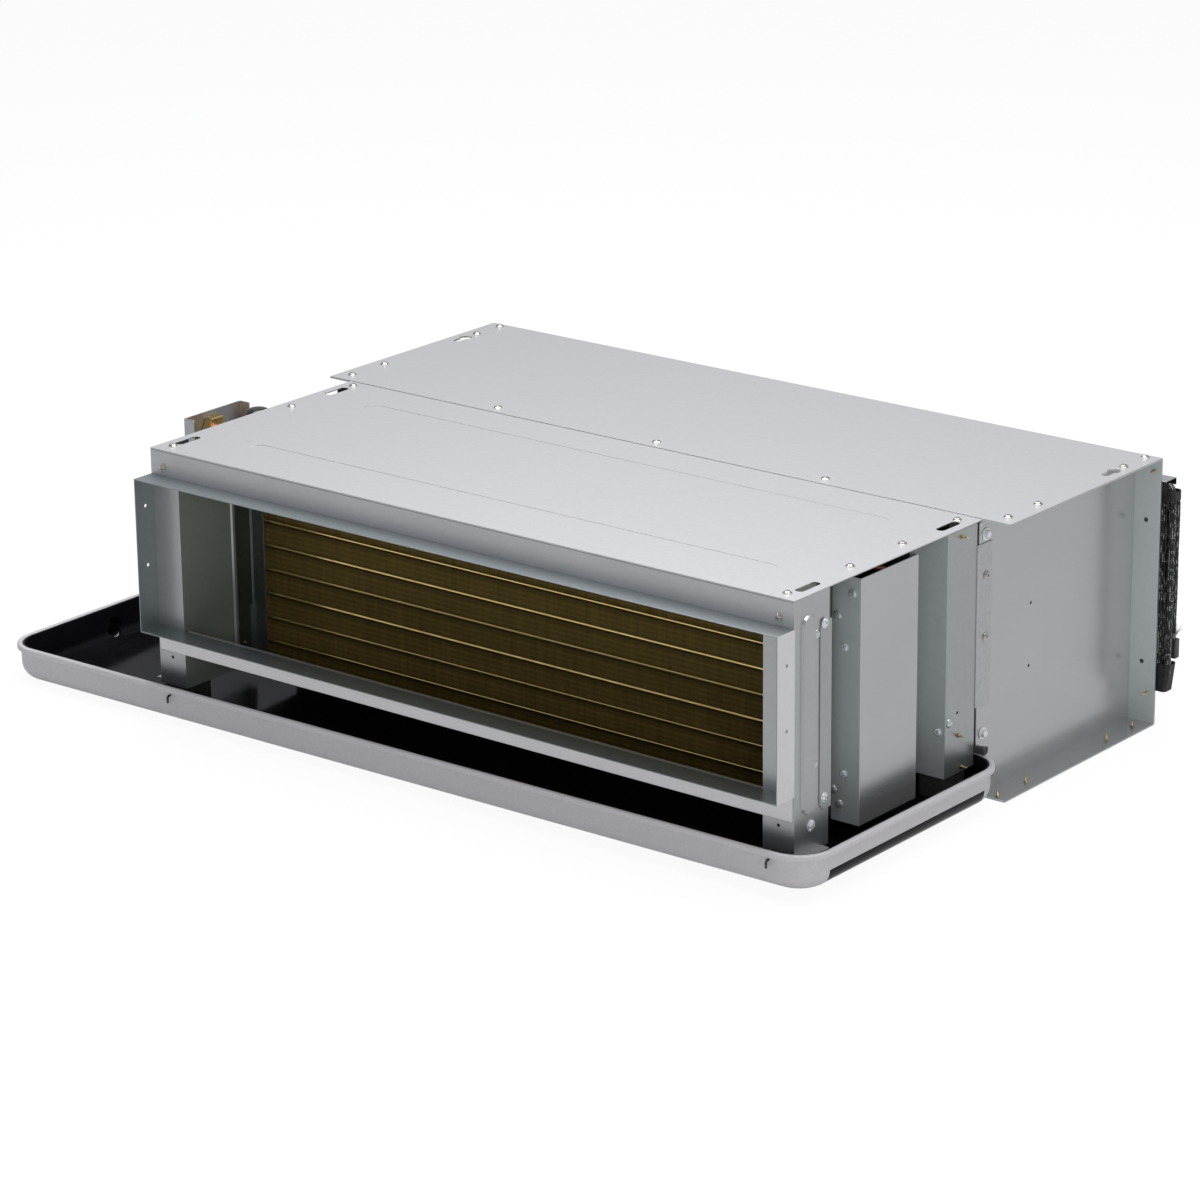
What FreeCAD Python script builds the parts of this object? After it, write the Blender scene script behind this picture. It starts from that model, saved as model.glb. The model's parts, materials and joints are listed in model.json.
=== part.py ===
import FreeCAD, Part
import math
import os

# Concealed ceiling fan coil unit. X runs along the unit, Y from the discharge collar back to the
# return opening, Z up. Lengths are millimetres. Everything is drawn from the front left bottom
# corner of the coil box and moved at the end, so that the origin is under the middle of the unit.

# Casing
BOX_LENGTH = 786.0
BOX_DEPTH = 296.0
HEIGHT = 276.0
SHEET = 1.0
POST_SHEET = 1.2
PLENUM_FRONT = 297.0
PLENUM_BACK = 562.6
FLANGE = 29.6

# Discharge collar and front rail
COLLAR_DEPTH = 25.0
COLLAR_BOTTOM = 90.0
LIP_HEIGHT = 26.7
RAIL_BOTTOM = 66.0
BEAD_YS = (61.5, 235.0)
BEAD_DEPTH = 0.4
BEAD_HALF_WIDTH = 11.0

# Coil: four staggered rows of nine tubes
TUBE_PITCH = 25.4
ROW_PITCH = 22.0
TUBE_RADIUS = 4.76
ROWS = 4
TUBES_PER_ROW = 9
COIL_FRONT = 102.0
COIL_DEPTH = ROWS * ROW_PITCH
COIL_BOTTOM = 32.5
COIL_HEIGHT = (TUBES_PER_ROW + 0.5) * TUBE_PITCH
END_PLATE_X = 35.0

# Drain pan
PAN_LEFT = -199.0
PAN_RIGHT = 823.0
PAN_FRONT = -27.5
PAN_BACK = 295.5
PAN_HEIGHT = 38.0
PAN_FALL_DEG = 0.45
RIM_HEIGHT = 6.0
RIM_CORNER = 38.0
PAN_BOTTOM_RADIUS = 18.0
PAN_WALL_INSET = 4.0
PAN_STEEL = 1.5
PAN_LINER = 2.5
LINER_BELOW_RIM = 0.6
CORNER_FLATS = 5
SPOUT_Y = 126.0
SPOUT_Z = 14.0
SPOUT_RADIUS = 11.0
SPOUT_BORE = 9.0
SPOUT_REACH = 24.0
SPOUT_FREE_LENGTH = 20.0
SPOUT_STOP_RADIUS = 13.5

# Fans: two double-inlet forward-curved wheels on one shaft
FAN_AXIS_Y = 424.0
FAN_AXIS_Z = 122.0
FAN_CENTRES = (196.5, 589.5)
WHEEL_RADIUS = 78.0
WHEEL_BORE_RADIUS = 64.0
WHEEL_WIDTH = 184.0
BLADES = 16
SCROLL_WIDTH = 204.0
SCROLL_START = 84.0
SCROLL_END = 126.0
INLET_RADIUS = 60.0
SHAFT_RADIUS = 6.0
SHAFT_PLAY = 0.05
MOTOR_RADIUS = 52.0
MOTOR_LENGTH = 96.0
BOSS_RADIUS = 20.0
RING_RADIUS = 27.0
CRADLE_HALF = 34.0
CRADLE_SHEET = 2.0
CAPACITOR_RADIUS = 15.0
CAPACITOR_LENGTH = 66.0

# Hanging slots, screws and small holes
SLOT_LENGTH = 31.5
SLOT_WIDTH = 9.5
SLOT_X = 14.0
SLOT_YS = (39.0, 259.0)
HEAD_RADIUS = 4.2
HEAD_HEIGHT = 2.2
WASHER_RADIUS = 6.0
SMALL_HOLE = 1.75

# Water connections
HEADER_X = -22.0
HEADER_RADIUS = 9.5
SUPPLY_Y = COIL_FRONT + 0.5 * ROW_PITCH
RETURN_Y = COIL_FRONT + 3.5 * ROW_PITCH
CONNECTION_PLATE_X = -78.6
PLATE_FRONT = 129.0
PLATE_BACK = 212.0
THREAD_RADIUS = 12.06
HEX_RADIUS = 18.0
SUPPLY_Z = 96.0
RETURN_Z = 240.0
SUPPLY_PORT_Y = 156.0
RETURN_PORT_Y = 168.0
VENT_Z = 205.0
HEADER_TOP = 263.5

V = FreeCAD.Vector
X_AXIS, Y_AXIS, Z_AXIS = V(1, 0, 0), V(0, 1, 0), V(0, 0, 1)
FRONT_REACH, REAR_REACH = PAN_FRONT - 1.0, PLENUM_BACK + 20.3
ORIGIN_SHIFT = V(-0.5 * (PAN_LEFT - SPOUT_REACH + PAN_RIGHT), -0.5 * (FRONT_REACH + REAR_REACH), 0)
RIGHT_POST_X = BOX_LENGTH - END_PLATE_X


# Basic solids

def block(x0, x1, y0, y1, z0, z1):
    return Part.makeBox(x1 - x0, y1 - y0, z1 - z0, V(x0, y0, z0))


def rod(start, direction, length, radius):
    return Part.makeCylinder(radius, length, start, direction)


def fuse(shapes):
    return shapes[0].multiFuse(shapes[1:]).removeSplitter() if len(shapes) > 1 else shapes[0]


def mirrored(shape):
    return shape.mirror(V(BOX_LENGTH / 2, 0, 0), X_AXIS)


def in_plane(plane, a, b, height=0.0):
    if plane == "xy":
        return V(a, b, height)
    if plane == "yz":
        return V(height, a, b)
    return V(a, height, b)


def bent_sheet(points, low, high, plane, thickness=SHEET):
    """Folded sheet: a line of outer faces in one plane, thickened to its left and extruded."""
    moved = []
    for i, point in enumerate(points):
        legs = []
        if i:
            legs.append((point[0] - points[i - 1][0], point[1] - points[i - 1][1]))
        if i + 1 < len(points):
            legs.append((points[i + 1][0] - point[0], points[i + 1][1] - point[1]))
        normals = [(-b / math.hypot(a, b), a / math.hypot(a, b)) for a, b in legs]
        mean = [sum(n[k] for n in normals) / len(normals) for k in (0, 1)]
        scale = thickness / (mean[0] ** 2 + mean[1] ** 2)
        moved.append((point[0] + mean[0] * scale, point[1] + mean[1] * scale))
    outline = [in_plane(plane, a, b, low) for a, b in points + moved[::-1] + points[:1]]
    solid = Part.Face(Part.makePolygon(outline)).extrude(in_plane(plane, 0, 0, high - low))
    return solid if solid.Volume > 0 else solid.reversed()


def rounded_rectangle(x0, x1, y0, y1, radius, z, flats=CORNER_FLATS):
    """Closed wire of a rectangle whose round corners are made of short flats."""
    corners = ((x1 - radius, y1 - radius, 0), (x0 + radius, y1 - radius, 90),
               (x0 + radius, y0 + radius, 180), (x1 - radius, y0 + radius, 270))
    points = []
    for x, y, start in corners:
        for k in range(flats + 1):
            angle = math.radians(start + 90 * k / flats)
            points.append(V(x + radius * math.cos(angle), y + radius * math.sin(angle), z))
    return Part.makePolygon(points + points[:1])


def slot_cutter(x, y, z0, z1, length=SLOT_LENGTH, width=SLOT_WIDTH):
    """Obround cutter whose long side runs along Y."""
    half = (length - width) / 2
    ends = [rod(V(x, y + side * half, z0), Z_AXIS, z1 - z0, width / 2) for side in (-1, 1)]
    return fuse(ends + [block(x - width / 2, x + width / 2, y - half, y + half, z0, z1)])


def faceted_solid(rings):
    """Closed solid of flat faces through a row of like rings of points."""
    faces = [Part.Face(Part.makePolygon(ring + ring[:1])) for ring in (rings[0], rings[-1])]
    for low, high in zip(rings, rings[1:]):
        for k in range(len(low)):
            n = (k + 1) % len(low)
            faces.append(Part.Face(Part.makePolygon([low[k], low[n], high[n], high[k], low[k]])))
    solid = Part.Solid(Part.Shell(faces))
    return solid if solid.Volume > 0 else solid.reversed()


def ring_about(centre, spoke, across, radius, sides):
    turns = [2 * math.pi * (k + 0.5) / sides for k in range(sides)]
    return [centre + spoke * (radius * math.cos(t)) + across * (radius * math.sin(t)) for t in turns]


def turned(profile, origin, axis, sides):
    """Many-sided turned piece: the profile lists a distance along the axis and a radius."""
    spoke = Z_AXIS if abs(axis.z) < 0.9 else X_AXIS
    across = axis.cross(spoke)
    spoke = across.cross(axis)
    return faceted_solid([ring_about(origin + axis * a, spoke, across, r, sides) for a, r in profile])


def small_hole(at, out, length, radius=SMALL_HOLE):
    return turned([(0, radius), (length, radius)], at, out, 8)


def cut_rectangle(x0, x1, y0, y1, corner, z):
    """Level outline of a rectangle with its corners cut off."""
    points = [(x0 + corner, y0), (x1 - corner, y0), (x1, y0 + corner), (x1, y1 - corner),
              (x1 - corner, y1), (x0 + corner, y1), (x0, y1 - corner), (x0, y0 + corner)]
    return Part.makePolygon([V(x, y, z) for x, y in points + points[:1]])


def screw_head(at, out, radius=HEAD_RADIUS, height=HEAD_HEIGHT):
    """Pan head, seated on the sheet."""
    return turned([(0, radius), (height, radius * 0.7)], at, out, 8)


NODES = {}


def keep(name, *solids):
    NODES[name] = list(solids)


# Coil box: top panel, posts, closers, collar and rail

def top_panel():
    profile = [(BOX_DEPTH, HEIGHT), (0, HEIGHT), (0, HEIGHT - LIP_HEIGHT)]
    panel = bent_sheet(profile, 0, BOX_LENGTH, "yz")
    for y in BEAD_YS:
        panel = panel.fuse(bead_pad(y, 0.9, HEIGHT - SHEET - BEAD_DEPTH))
        panel = panel.cut(bead_pad(y, 0.0, HEIGHT - BEAD_DEPTH))
    for x in (SLOT_X, BOX_LENGTH - SLOT_X):
        for y in SLOT_YS:
            panel = panel.cut(slot_cutter(x, y, HEIGHT - 2, HEIGHT + 1))
    return panel.removeSplitter()


def bead_pad(y, grow, z):
    """Shallow stiffening bead along X, with round ends made of short flats."""
    radius = BEAD_HALF_WIDTH + grow
    x0, x1 = 76.0 + BEAD_HALF_WIDTH, BOX_LENGTH - 66.0 - BEAD_HALF_WIDTH
    outline = rounded_rectangle(x0 - radius, x1 + radius, y - radius, y + radius, radius - 0.01, z, 2)
    return Part.Face(outline).extrude(V(0, 0, 2 * BEAD_DEPTH))


def side_bead(x, y0, y1, z0, z1, rise):
    """Upright obround bead pressed outwards from a post."""
    middle, radius = (y0 + y1) / 2, (y1 - y0) / 2
    ends = [turned([(0, radius), (rise, radius - rise)], V(x, middle, z), X_AXIS, 12)
            for z in (z0 + radius, z1 - radius)]
    corners = [(x, y0), (x, y1), (x + rise, y1 - rise), (x + rise, y0 + rise), (x, y0)]
    section = Part.makePolygon([V(a, b, z0 + radius) for a, b in corners])
    return fuse(ends + [Part.Face(section).extrude(V(0, 0, z1 - z0 - 2 * radius))])


POST_BOTTOM = 30.0
BACK_POST_BOTTOM = 34.5
POST_TOP = HEIGHT - SHEET
FRONT_WEB_DEPTH = 53.0
FRONT_WALL_DEPTH = 97.0
RIB_BOTTOM = 46.0
RIB_TOP = 246.0
BACK_POST_FRONT = 238.5
BACK_POST_BACK = 287.0


def front_post():
    """Right front post: outer web with a pressed bead, front flange and inner air wall."""
    post = bent_sheet([(BOX_LENGTH, FRONT_WEB_DEPTH), (BOX_LENGTH, SHEET), (RIGHT_POST_X, SHEET),
                       (RIGHT_POST_X, FRONT_WALL_DEPTH)][::-1], POST_BOTTOM, POST_TOP, "xy", POST_SHEET)
    post = post.fuse(side_bead(BOX_LENGTH, 10.8, 31.1, 67.7, 258.0, 1.5))
    foot = block(BOX_LENGTH - 1, BOX_LENGTH + 12, 8, 44, POST_BOTTOM, POST_BOTTOM + POST_SHEET)
    foot = foot.makeChamfer(6, [e for e in foot.Edges if abs(e.CenterOfMass.x - BOX_LENGTH - 12) < 0.1
                                and abs(e.CenterOfMass.y - 44) < 0.1])
    rib = block(RIGHT_POST_X - 1.6, RIGHT_POST_X + 0.2, 73, 79, RIB_BOTTOM, RIB_TOP)
    rib = rib.makeChamfer(1.4, [e for e in rib.Edges if abs(e.CenterOfMass.x - RIGHT_POST_X + 1.6) < 0.01])
    leg_hole = small_hole(V(BOX_LENGTH - 17.5, -1, 60), Y_AXIS, 5)
    return post.fuse([foot, rib]).cut(leg_hole).removeSplitter()


def post_closer():
    """Z-shaped strip: its lip laps the post's web, its tail laps the inner air wall."""
    lip_x = BOX_LENGTH + POST_SHEET
    strip = bent_sheet([(lip_x, 38.2), (lip_x, 55.6), (RIGHT_POST_X + 2 * POST_SHEET, 55.6),
                        (RIGHT_POST_X + 2 * POST_SHEET, 92.0)], 66, 246, "xy", POST_SHEET)
    corners = [e for e in strip.Edges
               if abs(e.CenterOfMass.y - 38.2) < 0.01 and abs(e.Length - POST_SHEET) < 0.01]
    return strip.makeChamfer(5, corners)


def back_post():
    """Right rear post: forward wall, outer web and rear flange."""
    post = bent_sheet([(RIGHT_POST_X, COIL_FRONT + COIL_DEPTH + 0.8),
                       (RIGHT_POST_X, BACK_POST_FRONT), (BOX_LENGTH, BACK_POST_FRONT),
                       (BOX_LENGTH, BACK_POST_BACK), (RIGHT_POST_X + 4, BACK_POST_BACK)],
                      BACK_POST_BOTTOM, POST_TOP, "xy", POST_SHEET)
    return post.cut(small_hole(V(BOX_LENGTH - 3, 259, 95.3), X_AXIS, 6))


def collar():
    """Open rectangular ring in front of the box, on which a duct is pushed."""
    ring = block(0, BOX_LENGTH, -COLLAR_DEPTH, SHEET, COLLAR_BOTTOM, HEIGHT - LIP_HEIGHT)
    mouth = block(SHEET, BOX_LENGTH - SHEET, -COLLAR_DEPTH - 1, SHEET + 1,
                  COLLAR_BOTTOM + SHEET, HEIGHT - LIP_HEIGHT - SHEET)
    ring = ring.cut(mouth)
    for z in (157.0, 218.5):
        ring = ring.cut(small_hole(V(-1, -11, z), X_AXIS, BOX_LENGTH + 2))
    for x in (0.0, BOX_LENGTH):
        corner = V(x, -COLLAR_DEPTH, COLLAR_BOTTOM)
        notch = Part.makePolygon([corner, corner + V(0, 0, 5), corner + V(0, 4, 0), corner])
        width = 8 if x else -8
        ring = ring.cut(Part.Face(notch).extrude(V(-width, 0, 0)))
    return ring


def front_rail():
    """Angle under the collar, notched round the posts."""
    rail = bent_sheet([(8, COLLAR_BOTTOM), (0, COLLAR_BOTTOM), (0, RAIL_BOTTOM)], 1.5, BOX_LENGTH - 1.5,
                      "yz")
    notches = [block(x, x + END_PLATE_X + 1, SHEET, 9, RAIL_BOTTOM - 1, COLLAR_BOTTOM + 1)
               for x in (0, RIGHT_POST_X - 1)]
    return rail.cut(Part.makeCompound(notches))


# Coil

def fin_block():
    """The pack of pressed fins, with shallow grooves between groups of fins on both faces."""
    x0, x1 = END_PLATE_X + POST_SHEET, RIGHT_POST_X - POST_SHEET
    y0, y1 = COIL_FRONT + 1.2, COIL_FRONT + COIL_DEPTH - 1.2
    pack = block(x0, x1, y0, y1, COIL_BOTTOM, COIL_BOTTOM + COIL_HEIGHT)
    pitch, depth, grooves = 50.0, 3.0, []
    count = int((x1 - x0) / pitch)
    for i in range(1, count + 1):
        x = x0 + i * pitch
        for low, high in ((y0 - 1, y0 + depth), (y1 - depth, y1 + 1)):
            grooves.append(block(x, x + 2.0, low, high, COIL_BOTTOM - 1, COIL_BOTTOM + COIL_HEIGHT + 1))
    return pack.cut(Part.makeCompound(grooves))


def tube_centres():
    for row in range(ROWS):
        drop = 0.0 if row % 2 == 0 else TUBE_PITCH / 2
        for level in range(TUBES_PER_ROW):
            y = COIL_FRONT + (row + 0.5) * ROW_PITCH
            z = COIL_BOTTOM + COIL_HEIGHT - TUBE_PITCH / 2 - level * TUBE_PITCH - drop
            yield row, level, y, z


def tube_at(row, level):
    for r, n, y, z in tube_centres():
        if (r, n) == (row, level):
            return y, z


def return_bend(x, side, first, second):
    """Half-round bend that joins two tube ends, in flat facets."""
    a, b = V(x, *tube_at(*first)), V(x, *tube_at(*second))
    middle, arm = (a + b) / 2, (a - b) / 2
    radius, out = arm.Length, X_AXIS * side
    toward = arm.normalize()
    across = toward.cross(out)
    rings, steps = [], 3
    for step in range(steps + 1):
        angle = math.pi * step / steps
        spoke = toward * math.cos(angle) + out * math.sin(angle)
        rings.append(ring_about(middle + spoke * radius, spoke, across, TUBE_RADIUS, 6))
    return faceted_solid(rings)


def end_plate():
    """Right coil end plate: a channel whose flanges turn outwards."""
    front, back = COIL_FRONT + 0.4, COIL_FRONT + COIL_DEPTH + 0.8
    return bent_sheet([(BOX_LENGTH - 9, back), (RIGHT_POST_X - POST_SHEET, back),
                       (RIGHT_POST_X - POST_SHEET, front), (BOX_LENGTH - 9, front)],
                      COIL_BOTTOM, COIL_BOTTOM + COIL_HEIGHT, "xy", POST_SHEET)


def seal_strip():
    """Flat strip that closes the gap between the right air wall and the fins."""
    return block(RIGHT_POST_X - 17.5, RIGHT_POST_X - POST_SHEET, COIL_FRONT, COIL_FRONT + 1.2, 34, 246)


def bend_cover():
    """Right cover over the return bends: a channel whose mouth faces the end plate."""
    front, back = COIL_FRONT - 0.6, COIL_FRONT + COIL_DEPTH + 1.8
    return bent_sheet([(RIGHT_POST_X + 3, front), (BOX_LENGTH, front), (BOX_LENGTH, back),
                       (RIGHT_POST_X + 3, back)], 31.0, 272.8, "xy", SHEET)


for side_name, shape in (("right", lambda s: s), ("left", mirrored)):
    keep("front_post_" + side_name, shape(front_post()))

keep("post_closers", post_closer(), mirrored(post_closer()))
keep("coil_end_plates", end_plate(), mirrored(end_plate()))
keep("air_seal_strips", seal_strip(), mirrored(seal_strip()))
keep("coil_top_panel", top_panel())
keep("back_post_right", back_post())
see_through = block(-1, 3, 243, 275, 262, 280)
keep("back_post_left", mirrored(back_post()).cut(see_through))
keep("discharge_collar", collar())
keep("lower_front_rail", front_rail())
keep("return_bend_cover", bend_cover())
keep("coil_fin_pack", fin_block())

hairpins = [return_bend(RIGHT_POST_X, 1, (row, n), (row + 1, n))
            for row in (0, 2) for n in range(TUBES_PER_ROW)]
keep("return_bends_right", *hairpins)
SUPPLY_LEVELS, RETURN_LEVELS = (2, 5, 8), (0, 3, 6)
links = [return_bend(END_PLATE_X, -1, (1, n), (2, n)) for n in range(TUBES_PER_ROW)]
links += [return_bend(END_PLATE_X, -1, (0, n - 2), (0, n - 1)) for n in SUPPLY_LEVELS]
links += [return_bend(END_PLATE_X, -1, (3, n + 1), (3, n + 2)) for n in RETURN_LEVELS]
keep("return_bends_left", *links)


# Headers, stubs and water connections

def header(y, low, high):
    """Upright copper manifold."""
    return turned([(0, HEADER_RADIUS), (high - low, HEADER_RADIUS)], V(HEADER_X, y, low), Z_AXIS, 16)


def feed(row, level):
    """Short pipe from a header to one circuit of the coil."""
    start = HEADER_X + 8.2
    profile = [(0, TUBE_RADIUS), (END_PLATE_X - start, TUBE_RADIUS)]
    return turned(profile, V(start, *tube_at(row, level)), X_AXIS, 8)


def faceted_pipe(centres, radius, sides):
    """Many-sided pipe through a row of centres that lie in one plane."""
    legs = [(b - a).normalize() for a, b in zip(centres, centres[1:])]
    across = next((a.cross(b).normalize() for a, b in zip(legs, legs[1:]) if a.cross(b).Length > 1e-6))
    rings = []
    for i, centre in enumerate(centres):
        before, after = legs[max(i - 1, 0)], legs[min(i, len(legs) - 1)]
        along = (before + after).normalize()
        spoke = across.cross(along) * (1 / along.dot(after))
        rings.append(ring_about(centre, spoke, across, radius, sides))
    return faceted_solid(rings)


def stub(header_y, port_y, z):
    """Pipe from a header to its fitting, with a sideways set where the two are out of line."""
    stations = [(-8.0, 0.0), (-14.0, 0.0), (-18.0, 0.12), (-32.0, 0.88), (-36.0, 1.0),
                (CONNECTION_PLATE_X + SHEET + 9 - HEADER_X, 1.0)]
    centres = [V(HEADER_X + dx, header_y + share * (port_y - header_y), z) for dx, share in stations]
    return faceted_pipe(centres, 7.9, 12)


def hex_fitting(y, z):
    """Brass body with an inner hexagon, and a threaded socket that faces left through the plate."""
    x_in = CONNECTION_PLATE_X + SHEET
    nut = turned([(0, HEX_RADIUS), (9, HEX_RADIUS)], V(x_in, y, z), X_AXIS, 6)
    socket = turned([(0, 15.4), (14 + SHEET, 15.4)], V(CONNECTION_PLATE_X - 14, y, z), X_AXIS, 12)
    bore = rod(V(CONNECTION_PLATE_X - 15, y, z), X_AXIS, 17, THREAD_RADIUS)
    return fuse([nut, socket]).cut(bore)


def connection_plate():
    """Galvanised plate that holds both fittings, with an arm bent back to the left rear post."""
    plate = bent_sheet([(CONNECTION_PLATE_X + 14, PLATE_BACK), (CONNECTION_PLATE_X, PLATE_BACK),
                        (CONNECTION_PLATE_X, PLATE_FRONT), (CONNECTION_PLATE_X + 14, PLATE_FRONT)],
                       60.0, 261.5, "xy")
    arm = bent_sheet([(-SHEET, 262.0), (-SHEET, PLATE_BACK), (CONNECTION_PLATE_X + 8, PLATE_BACK)],
                     120, 200, "xy")
    holes = [turned([(0, 15.4), (6, 15.4)], V(CONNECTION_PLATE_X - 2, y, z), X_AXIS, 12)
             for y, z in ((SUPPLY_PORT_Y, SUPPLY_Z), (RETURN_PORT_Y, RETURN_Z))]
    return plate.fuse(arm).cut(Part.makeCompound(holes)).removeSplitter()


def header_cap():
    """Black moulded cap pushed over the top of the return header."""
    top = V(HEADER_X, RETURN_Y, HEADER_TOP)
    return turned([(0, 13.0), (2.5, 13.0), (5.5, 11.0), (7.0, 7.0)], top, Z_AXIS, 16)


def vent_body():
    """Brass air vent on the return header, bored for its screw."""
    face = V(HEADER_X - HEADER_RADIUS + 1.0, RETURN_Y, VENT_Z)
    body = turned([(0, 5.0), (3, 7.0), (10, 7.0)], face, -X_AXIS, 6)
    return body.cut(rod(face - X_AXIS * 4, -X_AXIS, 7, 2.55))


def vent_screw():
    """Thumb screw of the air vent."""
    head_face = V(HEADER_X - HEADER_RADIUS + 1.0 - 10.2, RETURN_Y, VENT_Z)
    shank = rod(head_face + X_AXIS * 5, -X_AXIS, 6, 2.5)
    head = turned([(0, 5.5), (6, 5.0)], head_face, -X_AXIS, 8)
    slot = block(head_face.x - 7, head_face.x - 4.5, RETURN_Y - 6, RETURN_Y + 6, VENT_Z - 0.7, VENT_Z + 0.7)
    return fuse([shank, head]).cut(slot)


keep("connection_plate", connection_plate())
keep("supply_header", header(SUPPLY_Y, 46.0, 222.0))
keep("return_header", header(RETURN_Y, 84.0, HEADER_TOP))
keep("circuit_feeds", *[feed(0, n) for n in SUPPLY_LEVELS], *[feed(3, n) for n in RETURN_LEVELS])
keep("header_stubs", stub(SUPPLY_Y, SUPPLY_PORT_Y, SUPPLY_Z), stub(RETURN_Y, RETURN_PORT_Y, RETURN_Z))
keep("water_fittings", hex_fitting(SUPPLY_PORT_Y, SUPPLY_Z), hex_fitting(RETURN_PORT_Y, RETURN_Z))
keep("header_cap", header_cap())
keep("air_vent_body", vent_body())
keep("air_vent_screw", vent_screw())


# Drain pan: a pressed tray that falls towards its spout, with a foam liner inside

def rounded_tray(x0, x1, y0, y1, corner, z0, z1, bottom_radius):
    """Solid with upright walls, round corners and a big lower edge rounded in three flats."""
    turns = [math.radians(a) for a in (0, 30, 60, 90)]
    levels = [(bottom_radius * (1 - math.sin(t)), z0 + bottom_radius * (1 - math.cos(t))) for t in turns]
    levels.append((0.0, z1))
    wires = [rounded_rectangle(x0 + d, x1 - d, y0 + d, y1 - d, corner - d, z) for d, z in levels]
    return Part.makeLoft(wires, True, True)


def sloped_tray(x0, x1, y0, y1, corner, z0, z1, slope):
    """Like a rounded tray, with a flat slope where the walls meet the floor."""
    levels = [(slope, z0), (0.0, z0 + slope), (0.0, z1)]
    wires = [rounded_rectangle(x0 + d, x1 - d, y0 + d, y1 - d, corner - d, z) for d, z in levels]
    return Part.makeLoft(wires, True, True)


def pan_parts():
    x0, x1 = PAN_LEFT + PAN_WALL_INSET, PAN_RIGHT - PAN_WALL_INSET
    y0, y1 = PAN_FRONT + PAN_WALL_INSET, PAN_BACK - PAN_WALL_INSET
    s, t = PAN_STEEL, PAN_STEEL + PAN_LINER
    corner = RIM_CORNER - PAN_WALL_INSET
    outside = rounded_tray(x0, x1, y0, y1, corner, 0, PAN_HEIGHT, PAN_BOTTOM_RADIUS)
    steel_inside = sloped_tray(x0 + s, x1 - s, y0 + s, y1 - s, corner - s, s, PAN_HEIGHT + 1, 11.0)
    water_space = sloped_tray(x0 + t, x1 - t, y0 + t, y1 - t, corner - t, t, PAN_HEIGHT + 1, 9.5)
    lap, rim_low = 1.0, PAN_HEIGHT - RIM_HEIGHT
    rim_edge = rounded_rectangle(PAN_LEFT, PAN_RIGHT, PAN_FRONT, PAN_BACK, RIM_CORNER, rim_low)
    under_edge = rounded_rectangle(PAN_LEFT + s, PAN_RIGHT - s, PAN_FRONT + s, PAN_BACK - s, RIM_CORNER - s,
                                   rim_low - lap)
    rim = Part.Face(rim_edge).extrude(V(0, 0, RIM_HEIGHT))
    under = Part.Face(under_edge).extrude(V(0, 0, RIM_HEIGHT + lap - s))
    rim = rim.cut(under.cut(outside))
    shell = outside.fuse(rim).cut(steel_inside).removeSplitter()
    below_rim = block(x0, x1, y0, y1, -1, PAN_HEIGHT - LINER_BELOW_RIM)
    liner = steel_inside.common(below_rim).cut(water_space)
    start = V(x0 + 2, SPOUT_Y, SPOUT_Z)
    tip = PAN_LEFT - SPOUT_REACH
    spout = rod(V(tip, SPOUT_Y, SPOUT_Z), X_AXIS, x0 + s + 1 - tip, SPOUT_RADIUS)
    stop = tip + SPOUT_FREE_LENGTH
    stop_ring = [(0, SPOUT_STOP_RADIUS), (x0 + s - stop, SPOUT_STOP_RADIUS)]
    spout = spout.fuse(turned(stop_ring, V(stop, SPOUT_Y, SPOUT_Z), X_AXIS, 16))
    bore = rod(V(tip - 1, SPOUT_Y, SPOUT_Z), X_AXIS, SPOUT_REACH + 14, SPOUT_BORE)
    liner_hole = rod(start - X_AXIS * 3, X_AXIS, 16, SPOUT_RADIUS)
    return shell.fuse(spout).cut(bore).removeSplitter(), liner.cut(liner_hole)


def pan_hook(x):
    """Bent wire hook through the front wall of the pan, just under the rim."""
    wall = PAN_FRONT + PAN_WALL_INSET
    centres = [V(x, wall + 2, 29), V(x, wall - 2.5, 29), V(x, wall - 4, 27.5), V(x, wall - 4, 22)]
    return faceted_pipe(centres, 1.2, 6)


def tilt(shape):
    """Raise the right end of the pan, so that it drains to the left."""
    leaning = shape.copy()
    leaning.rotate(V(PAN_LEFT + PAN_WALL_INSET + PAN_BOTTOM_RADIUS, 0, 0), Y_AXIS, -PAN_FALL_DEG)
    return leaning


pan_shell, pan_liner = pan_parts()
keep("drain_pan", tilt(pan_shell))
keep("drain_pan_liner", tilt(pan_liner))
keep("pan_hooks", *[tilt(pan_hook(x)) for x in (36.0, 776.0)])


def support_pad(x0, x1, y0, y1, top):
    """Rubber pad between the pan's sloping floor and a post."""
    pan_floor = tilt(block(PAN_LEFT, PAN_RIGHT, PAN_FRONT, PAN_BACK, -50, PAN_STEEL + PAN_LINER))
    return block(x0, x1, y0, y1, 0, top).cut(pan_floor)


keep("pan_support_pads",
     support_pad(3, 31, 3, 40, POST_BOTTOM), support_pad(755, 783, 3, 40, POST_BOTTOM),
     support_pad(3, 31, 242, 277, BACK_POST_BOTTOM), support_pad(755, 783, 242, 277, BACK_POST_BOTTOM))


# Plenum: covers, side panels, fan deck and return frame

def keyhole_cutter(x):
    """Keyhole through the plenum's cover and flange: a round entry that runs into a slot."""
    entry = turned([(0, 7.0), (6, 7.0)], V(x, 498.0, HEIGHT - 4), Z_AXIS, 8)
    end = turned([(0, 4.5), (6, 4.5)], V(x, 484.0, HEIGHT - 4), Z_AXIS, 8)
    return fuse([entry, end, block(x - 4, x + 4, 484.0, 498.0, HEIGHT - 4, HEIGHT + 2)])


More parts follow.
